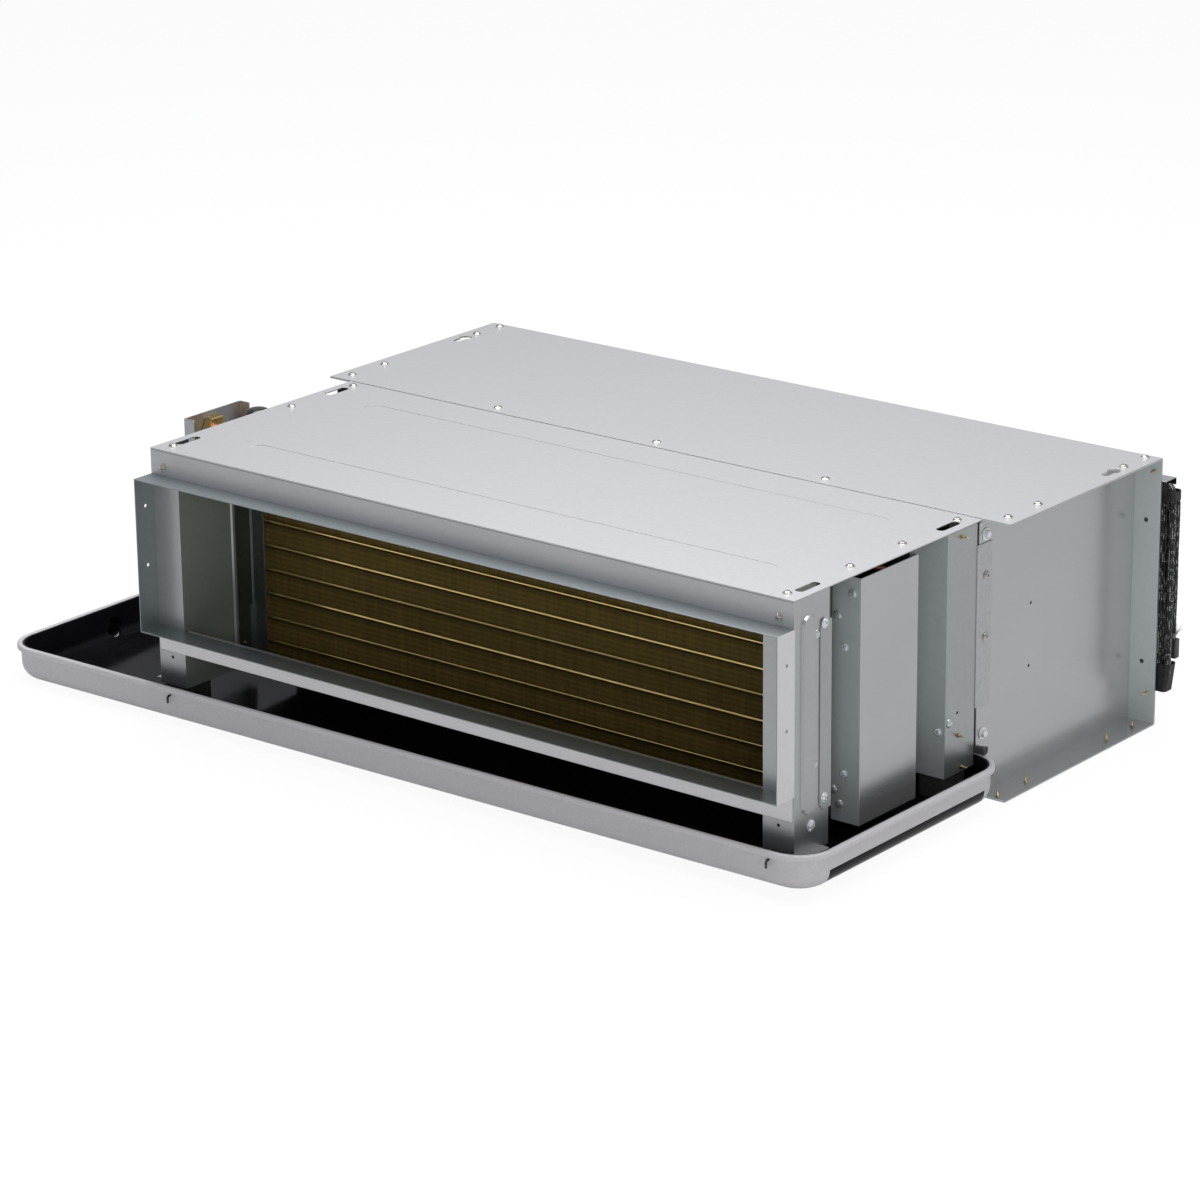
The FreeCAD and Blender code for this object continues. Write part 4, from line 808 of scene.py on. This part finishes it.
def tube_place(x, row, level):
    """Place on the axis of a tube, by its row and its level from the top."""
    return Vector((x, tube_rows[row], first_tube - (level + 0.5 * (row % 2)) * TUBE_PITCH))


def hairpin(x, side, first, second):
    """Two short legs with brazed sockets, and a half circle."""
    a, b, out = tube_place(x, *first), tube_place(x, *second), Vector((side, 0, 0))
    middle, arm = (a + b) / 2, (a - b) / 2
    leg = [(0.0, 1.22), (0.0016, 1.22), (0.0021, 1.0)]
    path = [(a + out * reach, swell) for reach, swell in leg]
    for k in range(17):
        angle = math.pi * k / 16
        path.append((middle + out * (0.0024 + arm.length * math.sin(angle)) + arm * math.cos(angle), 1.0))
    return path + [(b + out * reach, swell) for reach, swell in leg[::-1]]


supply_levels, return_levels = (2, 5, 8), (0, 3, 6)
right_bends = [hairpin(plate_right, 1, (row, n), (row + 1, n)) for row in (0, 2) for n in range(9)]
left_bends = [hairpin(plate_left, -1, (1, n), (2, n)) for n in range(9)]
left_bends += [hairpin(plate_left, -1, (0, n - 2), (0, n - 1)) for n in supply_levels]
left_bends += [hairpin(plate_left, -1, (3, n + 1), (3, n + 2)) for n in return_levels]
pipes("copper_bends_right", right_bends, TUBE_RADIUS, copper, "return_bends_right")
pipes("copper_bends_left", left_bends, TUBE_RADIUS, copper, "return_bends_left")


def manifold(y, low, high):
    """Upright pipe with spun ends."""
    spun = ((0.0, 0.15), (0.0006, 0.62), (0.0020, 0.88), (0.0045, 1.0))
    lower = [(Vector((header_x, y, low + up)), swell) for up, swell in spun]
    return lower + [(Vector((header_x, y, high - up)), swell) for up, swell in spun[::-1]]


pipes("supply_manifold", [manifold(tube_rows[0], 0.046, 0.222)], header_radius, copper, "supply_header")
pipes("return_manifold", [manifold(tube_rows[3], 0.084, 0.2635)], header_radius, copper, "return_header")
feed_length = plate_left - header_x - 0.0082
feed = ((0.0, 1.25), (0.0022, 1.25), (0.0030, 1.0), (feed_length - 0.0026, 1.0), (feed_length - 0.0018, 1.2),
        (feed_length, 1.2))
feeds = [[(tube_place(header_x + 0.0082 + along, row, n), swell) for along, swell in feed]
         for row, levels in ((0, supply_levels), (3, return_levels)) for n in levels]
pipes("copper_feeds", feeds, TUBE_RADIUS, copper, "circuit_feeds")

ports = ((tube_rows[0], -0.1212, 0.096), (tube_rows[3], -0.1092, 0.240))
stubs = []
for from_y, to_y, z in ports:
    path = [(Vector((header_x - 0.008, from_y, z)), 1.12), (Vector((header_x - 0.011, from_y, z)), 1.12)]
    for k in range(13):
        share = k / 12
        ease = share * share * (3 - 2 * share)
        path.append((Vector((header_x - 0.0125 - 0.0235 * share, from_y + ease * (to_y - from_y), z)), 1.0))
    stubs.append(path + [(Vector((header_x - 0.0466, to_y, z)), 1.0)])
pipes("copper_stubs", stubs, 0.0079, copper, "header_stubs")

thread_pitch, turns = 0.0018, 7
thread = [(0.0148 - thread_pitch * k - step, radius) for k in range(turns)
          for step, radius in ((0.0, 0.0121), (0.5 * thread_pitch, 0.0128))]
shape = bmesh.new()
for _, y, z in ports:
    turn(shape, [(0.0, 0.0134), (0.0, 0.0147), (0.0008, 0.0154), (0.015, 0.0154)] + thread, (-0.3926, y, z),
         (1, 0, 0), 48)
    turn(shape, [(0.0, 0.0), (0.0, 0.0164), (0.0011, 0.018), (0.0079, 0.018), (0.009, 0.0164), (0.009, 0.0)],
         (-0.3776, y, z), (1, 0, 0), 6)
placed("brass_fittings", shape, brass, "water_fittings", sharp=28)
shape = turn(None, [(0.0, 0.0), (0.0, 0.013), (0.0022, 0.013), (0.0034, 0.0127), (0.0050, 0.0114), (0.0062, 0.0092),
                    (0.0070, 0.0060), (0.0070, 0.0)], (header_x, tube_rows[3], 0.2635), (0, 0, 1), 40)
black_gloss = plastic_finish("gloss_black", (0.01, 0.01, 0.01), (0.025, 0.025, 0.025), (0.2, 0.12), 120.0)
placed("manifold_cap", shape, black_gloss, "header_cap")
shape = turn(None, [(0.0, 0.0), (0.0, 0.0050), (0.0028, 0.0054), (0.0028, 0.0066), (0.0036, 0.0070),
                    (0.0092, 0.0070), (0.0100, 0.0065), (0.0100, 0.0026), (0.0042, 0.0026), (0.0042, 0.0)],
             (header_x - 0.0085, tube_rows[3], 0.205), (-1, 0, 0), 6)
placed("vent_valve", shape, brass, "air_vent_body", sharp=25)
softened("air_vent_screw", steel, 0.00025)


# Fans
# Two double-inlet wheels of 42 forward-curved blades between rolled rims, on one ground shaft, in
# scrolls of 1 mm sheet whose wrapper grows from 84 to 126 mm round the axis. The motor hangs in
# rubber rings in a cradle.

fan_y, fan_z = 0.1468, 0.122
wheel_half, blade_inner, blade_outer = 0.092, 0.064, 0.0783
wheel_zinc = zinc_finish("wheel_sheet", (0.42, 0.44, 0.45), (0.62, 0.64, 0.65), (0.36, 0.28), spangle=0.3)
shape = bmesh.new()
for low, high in ((-wheel_half + 0.001, -0.0015), (0.0015, wheel_half - 0.001)):
    loops = []
    for x in (low, high):
        loop = []
        for thick in (0.0, 0.00055):
            stations = range(8) if not thick else range(7, -1, -1)
            for k in stations:
                radius = blade_inner + (blade_outer - blade_inner) * k / 7
                lead = 0.16 * (k / 7) ** 2.2 - 0.05 * math.sin(math.pi * k / 7) + thick / radius
                loop.append(shape.verts.new((x, radius * math.cos(lead), radius * math.sin(lead))))
        loops.append(loop)
    wall_between(shape, *loops)
one_blade = bare("one_blade", shape)
smoothed(one_blade.data, 40)

tree, given, last = new_tree("bladed_wheel", Blade=one_blade, Count=42, Centre=(0.0, fan_y, fan_z))
blade = add_node(tree, "GeometryNodeObjectInfo", given["Blade"]).outputs["Geometry"]
hubs = add_node(tree, "GeometryNodeMeshLine", mode="OFFSET", count=given["Count"],
                start_location=given["Centre"], offset=(0, 0, 0))
share = worked(tree, "DIVIDE", add_node(tree, "GeometryNodeInputIndex"), given["Count"])
spin = add_node(tree, "ShaderNodeCombineXYZ", worked(tree, "MULTIPLY", share, math.tau))
blades = add_node(tree, "GeometryNodeInstanceOnPoints", hubs, instance=blade, rotation=spin)
both = add_node(tree, "GeometryNodeJoinGeometry", blades)
tree.links.new(given["Geometry"], both.inputs[0])
ended(tree, given, last, both)

scroll_half, scroll_start, scroll_end, inlet = 0.102, 0.084, 0.126, 0.064
mouth_y, turns = 0.0208, 60
for side, fan_x in (("left", -0.1035), ("right", 0.2895)):
    centre = (fan_x, fan_y, fan_z)
    shape = bmesh.new()
    rim_end, edge = wheel_half - 0.0025, blade_outer + 0.0012
    for way in (-1, 1):
        turn(shape, [(rim_end, 0.0632), (rim_end, edge - 0.0006), (rim_end + 0.0006, edge),
                     (wheel_half - 0.0006, edge), (wheel_half, edge - 0.0006), (wheel_half, 0.0638),
                     (wheel_half - 0.0006, 0.0632)], centre, (way, 0, 0), 84)
    turn(shape, [(-0.0012, 0.0125), (-0.0012, edge), (0.0012, edge), (0.0012, 0.0125)], centre, (1, 0, 0), 84)
    turn(shape, [(-0.014, 0.0061), (-0.014, 0.0122), (-0.0132, 0.013), (0.0132, 0.013), (0.014, 0.0122),
                 (0.014, 0.0061)], centre, (1, 0, 0), 36)
    grown(bare("wheel_rims", shape), tree, "blower_wheel_" + side, wheel_zinc, "fan_wheel_" + side, Centre=centre)

    shape = bmesh.new()
    outline = []
    for k in range(turns + 1):
        angle = math.radians(-30 + 300 * k / turns)
        radius = scroll_start + (scroll_end - scroll_start) * k / turns
        outline.append((fan_y - radius * math.cos(angle), fan_z - radius * math.sin(angle)))
    outline = [(mouth_y, outline[0][1] + 0.002)] + outline + [(mouth_y, outline[-1][1])]
    ends = (fan_x - scroll_half, fan_x + scroll_half)
    edges = [[shape.verts.new((x, y, z)) for y, z in outline] for x in ends]
    for k in range(len(outline) - 1):
        shape.faces.new([edges[0][k], edges[0][k + 1], edges[1][k + 1], edges[1][k]])
    for x, row in zip(ends, edges):
        angles = [math.tau * k / 72 for k in range(72)]
        hole = [shape.verts.new((x, fan_y + inlet * math.cos(a), fan_z + inlet * math.sin(a))) for a in angles]
        loop = [shape.edges.get((a, b)) or shape.edges.new((a, b)) for a, b in zip(row, row[1:] + row[:1])]
        loop += [shape.edges.new((a, b)) for a, b in zip(hole, hole[1:] + hole[:1])]
        bmesh.ops.triangle_fill(shape, edges=loop, use_beauty=True)
    bmesh.ops.recalc_face_normals(shape, faces=shape.faces)
    bmesh.ops.solidify(shape, geom=shape.faces[:], thickness=0.001)
    for way in (-1, 1):
        bell = [(-0.0002, 0.0668), (0.0006, 0.0668), (0.0012, 0.0652), (0.0030, 0.0626), (0.0055, 0.0610),
                (0.0085, 0.0604), (0.0085, 0.0598), (0.0050, 0.0603), (0.0022, 0.0620), (0.0002, 0.0650)]
        turn(shape, bell, (fan_x + way * scroll_half, fan_y, fan_z), (-way, 0, 0), 72)
    placed("blower_scroll_" + side, shape, wheel_zinc, "scroll_housing_" + side, sharp=40)
bpy.data.objects.remove(one_blade)

shape = turn(None, [(0.0, 0.0), (0.0, 0.0054), (0.0006, 0.006), (0.4284, 0.006), (0.429, 0.0054), (0.429, 0.0)],
             (-0.1215, fan_y, fan_z), (1, 0, 0), 36)
placed("ground_shaft", shape, steel, "fan_shaft")
enamel = plastic_finish("motor_enamel", (0.03, 0.03, 0.033), (0.06, 0.06, 0.065), (0.36, 0.26), 200.0, coat=0.3)
shape = bmesh.new()
shell = [(0.0240, 0.052), (0.0246, 0.0512), (0.0246, 0.049), (0.0380, 0.049), (0.0430, 0.0465), (0.0462, 0.041),
         (0.0480, 0.034), (0.0480, 0.020), (0.0572, 0.020), (0.0580, 0.0192), (0.0580, 0.0061)]
turn(shape, [(-along, radius) for along, radius in shell[::-1]] + shell, (UNIT_MIDDLE, fan_y, fan_z), (1, 0, 0), 72)
for k in range(4):
    angle = math.tau * (k + 0.5) / 4
    spot = (UNIT_MIDDLE - 0.029, fan_y + 0.0468 * math.cos(angle), fan_z + 0.0468 * math.sin(angle))
    turn(shape, rod(0.058, 0.0034), spot, (1, 0, 0), 6)
placed("motor_shells", shape, enamel, "fan_motor", sharp=30)
rubber = plastic_finish("rubber", (0.018, 0.018, 0.018), (0.045, 0.045, 0.045), (0.75, 0.6), 260.0)
shape = bmesh.new()
for x in (0.042, 0.144):
    turn(shape, [(-0.004, 0.0202), (-0.004, 0.0258), (-0.0028, 0.027), (-0.0012, 0.027), (-0.0006, 0.0262),
                 (0.0006, 0.0262), (0.0012, 0.027), (0.0028, 0.027), (0.004, 0.0258), (0.004, 0.0202)],
         (x, fan_y, fan_z), (1, 0, 0), 48)
placed("motor_rings", shape, rubber, "motor_rubber_rings")
nylon = plastic_finish("nylon", (0.72, 0.70, 0.63), (0.86, 0.85, 0.80), (0.5, 0.4), 220.0)
shape = turn(None, [(0.0, 0.0), (0.0, 0.0132), (0.0018, 0.015), (0.0640, 0.015), (0.066, 0.0138), (0.066, 0.0)],
             (0.060, 0.0388, 0.040), (1, 0, 0), 40)
placed("run_capacitor", shape, nylon, "capacitor")


# Fasteners
# Pan-head sheet screws with a cross recess and a thin flange, hexagon bolts on wide washers, domed
# rivets and bare screw points. Place, direction and size of each are read from its CAD node.

nickel = metal_finish("bright_nickel", (0.48, 0.46, 0.42), (0.76, 0.73, 0.68), (0.22, 0.13), 900.0)
blue_zinc = metal_finish("blue_zinc", (0.55, 0.59, 0.61), (0.84, 0.88, 0.90), (0.22, 0.13), 900.0, metal=0.6)
yellow_zinc = metal_finish("yellow_zinc", (0.42, 0.34, 0.18), (0.66, 0.56, 0.34), (0.34, 0.2), 900.0)


def seats(name, pick):
    """Foot, outward direction and radius of each head in a CAD node. Its axis is the extent that is
    picked: the least one or the greatest one."""
    shape = node_shape(name)
    left, found = set(shape.verts), []
    while left:
        group, edge = set(), [left.pop()]
        while edge:
            corner = edge.pop()
            group.add(corner)
            near = {line.other_vert(corner) for line in corner.link_edges} & left
            left -= near
            edge += near
        low = Vector([min(v.co[k] for v in group) for k in range(3)])
        high = Vector([max(v.co[k] for v in group) for k in range(3)])
        axis = pick(range(3), key=lambda k: high[k] - low[k])
        middle = (low + high) / 2
        spread = [max((v.co - middle - Vector([(v.co - middle)[k] if k == axis else 0 for k in range(3)])).length
                      for v in group if abs(v.co[axis] - level[axis]) < 0.00002) for level in (low, high)]
        out = Vector([1.0 if k == axis else 0.0 for k in range(3)]) * (1 if spread[0] > spread[1] else -1)
        foot = middle - out * (0.5 * (high[axis] - low[axis]))
        found.append((foot, out, max(spread)))
    shape.free()
    return found


upright = ((0, 0, 0), (0, 0, 1))
shape = turn(None, [(0.0, 0.0), (0.0, 1.0), (0.05, 1.06), (0.13, 1.06), (0.18, 1.0), (0.18, 0.84), (0.30, 0.82),
                    (0.42, 0.72), (0.50, 0.55), (0.54, 0.32), (0.55, 0.0)], *upright, 28)
recess = bmesh.new()
for way in (0, 1):
    for level, half_long, half_wide in ((0.16, 0.26, 0.07), (0.62, 0.50, 0.115)):
        for a, b in ((-1, -1), (1, -1), (1, 1), (-1, 1)):
            place = (a * half_long, b * half_wide, level)
            recess.verts.new(place if way else (place[1], place[0], level))
    recess.verts.ensure_lookup_table()
    low, high = recess.verts[-8:-4], recess.verts[-4:]
    recess.faces.new(low)
    recess.faces.new(high)
    wall_between(recess, low, high)
cross_screw = bare("cross_screw", carved(shape, recess))
shape = turn(None, [(0.0, 0.0), (0.0, 0.96), (0.03, 1.0), (0.16, 1.0), (0.20, 0.95), (0.20, 0.0)], *upright, 32)
turn(shape, [(0.2, 0.0), (0.2, 0.66), (0.62, 0.66), (0.72, 0.56), (0.72, 0.0)], *upright, 6)
washer_bolt = bare("washer_bolt", shape)
shape = turn(None, [(0.0, 0.0), (0.0, 1.0), (0.12, 0.98), (0.26, 0.82), (0.35, 0.52), (0.37, 0.24), (0.30, 0.18),
                    (0.30, 0.0)], *upright, 24)
dome_rivet = bare("dome_rivet", shape)
shape = bmesh.new()
ridges = [(0.35 * k + step, (1.0 - 0.085 * k) * size) for k in range(9) for step, size in ((0.0, 0.72), (0.17, 1.0))]
turn(shape, [(0.0, 0.0)] + ridges + [(3.4, 0.12), (3.5, 0.0)], *upright, 14)
bare_point = bare("bare_point", shape)

tree, given, last = new_tree("heads_on_seats", Head=cross_screw, Seed=4)
head = add_node(tree, "GeometryNodeObjectInfo", given["Head"]).outputs["Geometry"]
facing = add_node(tree, "GeometryNodeInputNamedAttribute", data_type="FLOAT_VECTOR", name="facing")
reach = add_node(tree, "GeometryNodeInputNamedAttribute", data_type="FLOAT", name="reach")
aim = add_node(tree, "FunctionNodeAlignRotationToVector", axis="Z", vector=facing)
chance = add_node(tree, "FunctionNodeRandomValue", data_type="FLOAT", seed=given["Seed"])
chance.inputs[3].default_value = math.pi
twist = add_node(tree, "FunctionNodeAxisAngleToRotation", axis=(0, 0, 1), angle=chance.outputs[1])
turned = add_node(tree, "FunctionNodeRotateRotation", aim, rotation_space="LOCAL", rotate_by=twist)
heads = add_node(tree, "GeometryNodeInstanceOnPoints", given["Geometry"], instance=head, rotation=turned, scale=reach)
ended(tree, given, last, heads)
head_sets = (("coil_box_screws", cross_screw, nickel, min), ("side_screws", cross_screw, blue_zinc, min),
             ("plenum_screws", cross_screw, nickel, min), ("plenum_bolts", washer_bolt, blue_zinc, min),
             ("plenum_rivets", dome_rivet, nickel, min), ("screw_tips", bare_point, yellow_zinc, max),
             ("side_screws", cross_screw, nickel, min))
for name, head, finish, pick in head_sets:
    found = seats(name, pick)
    if name == "side_screws":
        found = [seat for seat in found if (seat[0].y > 0.01) == (finish is nickel)]
    if name == "screw_tips":
        found.append((Vector((-0.265, -0.1912, 0.0562)), Vector((1, 0, 0)), 0.0014))
    spots = bpy.data.meshes.new(name + "_seats")
    spots.from_pydata([foot for foot, _, _ in found], [], [])
    facing, reach = [c for _, out, _ in found for c in out], [radius for _, _, radius in found]
    spots.attributes.new("facing", "FLOAT_VECTOR", "POINT").data.foreach_set("vector", facing)
    spots.attributes.new("reach", "FLOAT", "POINT").data.foreach_set("value", reach)
    grown(stood(name + "_seats", spots), tree, name + "_in_" + finish.name, finish, name, Head=head)
for hidden in (cross_screw, washer_bolt, dome_rivet, bare_point):
    bpy.data.objects.remove(hidden)


# Small parts of the harness
# A rubber grommet in the rear frame, vinyl tape round both ends of the hank, a zinc clip at its top, a
# nylon plug, and the pale strands that fray out of the sleeve's end. Rubber pads stand under the pan.

tape = plastic_finish("vinyl_tape", (0.004, 0.004, 0.005), (0.014, 0.014, 0.015), (0.55, 0.42), 180.0, relief=0.5)
shape = turn(None, [(0.0, 0.0036), (0.0, 0.0062), (0.0004, 0.0065), (0.0012, 0.0065), (0.0020, 0.0058),
                    (0.0024, 0.0050), (0.0024, 0.0036)], (0.4765, 0.2864, 0.226), (0, 1, 0), 36)
placed("rubber_grommet", shape, rubber, "harness_grommet")
softened("pan_support_pads", rubber, 0.0008)


def wrapped(shape):
    """Draw the tape tight, and let the lower wrap run out over the ends of the hank."""
    hank_x, hank_y, tight = 0.51425, 0.29605, 0.93
    for corner in shape.verts:
        corner.co.x = hank_x + tight * (corner.co.x - hank_x)
        corner.co.y = hank_y + tight * (corner.co.y - hank_y)
        if corner.co.z > 0.2:
            corner.co.z += 0.006
        if corner.co.z < 0.05:
            corner.co.z -= 0.009
            corner.co.x = 0.5125 + 0.86 * (corner.co.x - hank_x)


tape_wraps = softened("harness_tape", tape, 0.0016, wrapped)
softened("harness_clip", pale_sheet, 0.0004, None, (tape, lambda face: face.normal.z < 0.9))
plug_nylon = plastic_finish("plug_nylon", (0.015, 0.015, 0.016), (0.05, 0.05, 0.052), (0.45, 0.3), 160.0)
connector = softened("harness_connector", plug_nylon, 0.0009)
chance = random.Random(11)
strands, count, sleeve_end = [], 46, Vector((0.5201, 0.3076, 0.0875))
for k in range(count):
    angle, lean = math.tau * k / count + chance.uniform(-0.1, 0.1), chance.uniform(0.15, 1.0)
    length, droop = chance.uniform(0.008, 0.017), chance.uniform(0, 1)
    out = Vector((math.cos(angle), math.sin(angle), 0.0))
    path = []
    for n in range(6):
        share = n / 5
        rise, spread = length * share * (1 - 0.7 * droop * share), length * lean * 0.55 * share ** 1.4
        path.append((sleeve_end + out * (0.0034 + spread) + Vector((0, 0, rise)), 1.0 - 0.5 * share))
    strands.append(path)
fray_finish = plastic_finish("frayed_strands", (0.05, 0.05, 0.05), (0.75, 0.75, 0.76), (0.5, 0.4), 120.0)
fray = pipes("sleeve_fray", strands, 0.00016, fray_finish, sides=5)
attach(fray, "unit")


# Drain pan
# Deep-drawn steel tray, powder coated mid grey, with a rolled rim and a black foam liner that has a
# glossy water-proof skin. It falls 0.45 degrees towards the spout in its left wall.

pan_left, pan_right, pan_front, pan_back = -0.499, 0.523, -0.3047, 0.0183
pan_height, rim_depth, rim_corner, wall_inset, steel_wall = 0.038, 0.006, 0.038, 0.004, 0.0015
fall, fall_x = math.radians(0.45), -0.477
bottom_radius = 0.018


def tilted(x, y, z):
    """Point of the level pan, after the pan leans towards its spout."""
    ahead = x - fall_x
    return (fall_x + ahead * math.cos(fall) - z * math.sin(fall), y, ahead * math.sin(fall) + z * math.cos(fall))


spout_tip, spout_lean = tilted(-0.523, -0.1512, 0.014), (math.cos(fall), 0, math.sin(fall))


def tray(profile, hole, per_corner=14):
    """Closed shell from a profile of (inset, height) round a rectangle with round corners, with a hole
    of a given radius for the spout in its left wall."""
    middle_x, middle_y = (pan_left + pan_right) / 2, (pan_front + pan_back) / 2
    corners = ((pan_right, pan_back, 0), (pan_left, pan_back, 90), (pan_left, pan_front, 180),
               (pan_right, pan_front, 270))
    shape, rings = bmesh.new(), []
    for inset, z in profile:
        ring = []
        for x, y, start in corners:
            x -= math.copysign(rim_corner, x - middle_x)
            y -= math.copysign(rim_corner, y - middle_y)
            reach = rim_corner - inset
            for k in range(per_corner + 1):
                angle = math.radians(start + 90 * k / per_corner)
                ring.append(shape.verts.new(tilted(x + reach * math.cos(angle), y + reach * math.sin(angle), z)))
        rings.append(ring)
    for low, high in zip(rings, rings[1:]):
        wall_between(shape, low, high)
    shape.faces.new(rings[0])
    shape.faces.new(rings[-1])
    return carved(shape, turn(None, rod(0.040, hole), spout_tip, spout_lean, 48))


def quarter(inset, z, radius, steps, start, stop):
    """Points of an arc in the profile, from a start to a stop angle in degrees."""
    angles = [math.radians(start + (stop - start) * k / steps) for k in range(steps + 1)]
    return [(inset - radius * math.cos(a), z + radius * math.sin(a)) for a in angles]


outer_wall = quarter(wall_inset + bottom_radius, bottom_radius, bottom_radius, 9, -90, 0)
rim_low, wall_inner, wall_foot, foot_run = pan_height - rim_depth, wall_inset + steel_wall, 0.0125, 0.011
rim = [(wall_inset, rim_low + 0.0022), (wall_inset - 0.0006, rim_low + 0.0006), (wall_inset - 0.0018, rim_low)]
rim += quarter(0.0014, rim_low + 0.0014, 0.0014, 4, -90, 0)
rim += quarter(0.0022, pan_height - 0.0022, 0.0022, 5, 0, 90)
rim += quarter(wall_inner - 0.0012, pan_height - 0.0012, 0.0012, 3, 90, 180)
inner_wall = [(wall_inner, wall_foot), (wall_inner + foot_run, steel_wall)]
pan_coat = plastic_finish("pan_powder_coat", (0.36, 0.35, 0.36), (0.40, 0.39, 0.40), (0.40, 0.32), 300.0, relief=0.05)
shape = tray(outer_wall + rim + inner_wall, 0.0100)
turn(shape, [(0.0, 0.0090), (0.0, 0.0106), (0.0004, 0.0110), (0.0200, 0.0110), (0.0200, 0.0131), (0.0204, 0.0135),
             (0.0295, 0.0135), (0.0295, 0.0110), (0.0305, 0.0110), (0.0305, 0.0090)], spout_tip, spout_lean, 48)
# The bore of the spout gets the black gloss of the lining: painted shade inside the hole.
for face in shape.faces:
    offset = face.calc_center_median() - Vector(spout_tip)
    along = offset.dot(Vector(spout_lean))
    if (offset - along * Vector(spout_lean)).length < (0.0095 if along < 0.030 else 0.0111):
        face.material_index = 1
shell = placed("drain_pan_shell", shape, pan_coat, "drain_pan")

skin = steel_wall + 0.0025
lining_top = pan_height - 0.0006
lining = plastic_finish("gloss_lining", (0.003, 0.003, 0.004), (0.007, 0.007, 0.009), (0.13, 0.07), 26.0, relief=0.6)
lining.node_tree.nodes["Principled BSDF"].inputs["Specular IOR Level"].default_value = 0.10
shell.data.materials.append(lining)
liner_profile = [(wall_inner + foot_run, steel_wall + 0.0001), (wall_inner + 0.0001, wall_foot)]
liner_profile += quarter(wall_inset + 0.5 * (steel_wall + skin), lining_top - 0.0012, 0.00125, 6, 0, 180)
liner_profile += quarter(wall_inset + skin + 0.0095, skin + 0.0095, 0.0095, 6, 0, -90)
placed("drain_pan_lining", tray(liner_profile, 0.0112), lining, "drain_pan_liner")
pan_wall = pan_front + wall_inset
hook_line = ((0.002, 0.029), (-0.0012, 0.029), (-0.0025, 0.0288), (-0.0035, 0.0281), (-0.004, 0.027),
             (-0.004, 0.022))
hooks = [[(tilted(x, pan_wall + reach, z), 1.0) for reach, z in hook_line] for x in (-0.264, 0.476)]
dark_wire = metal_finish("dark_wire", (0.05, 0.05, 0.05), (0.16, 0.155, 0.15), (0.45, 0.3), 300.0)
pipes("wire_hooks", hooks, 0.0012, dark_wire, "pan_hooks")
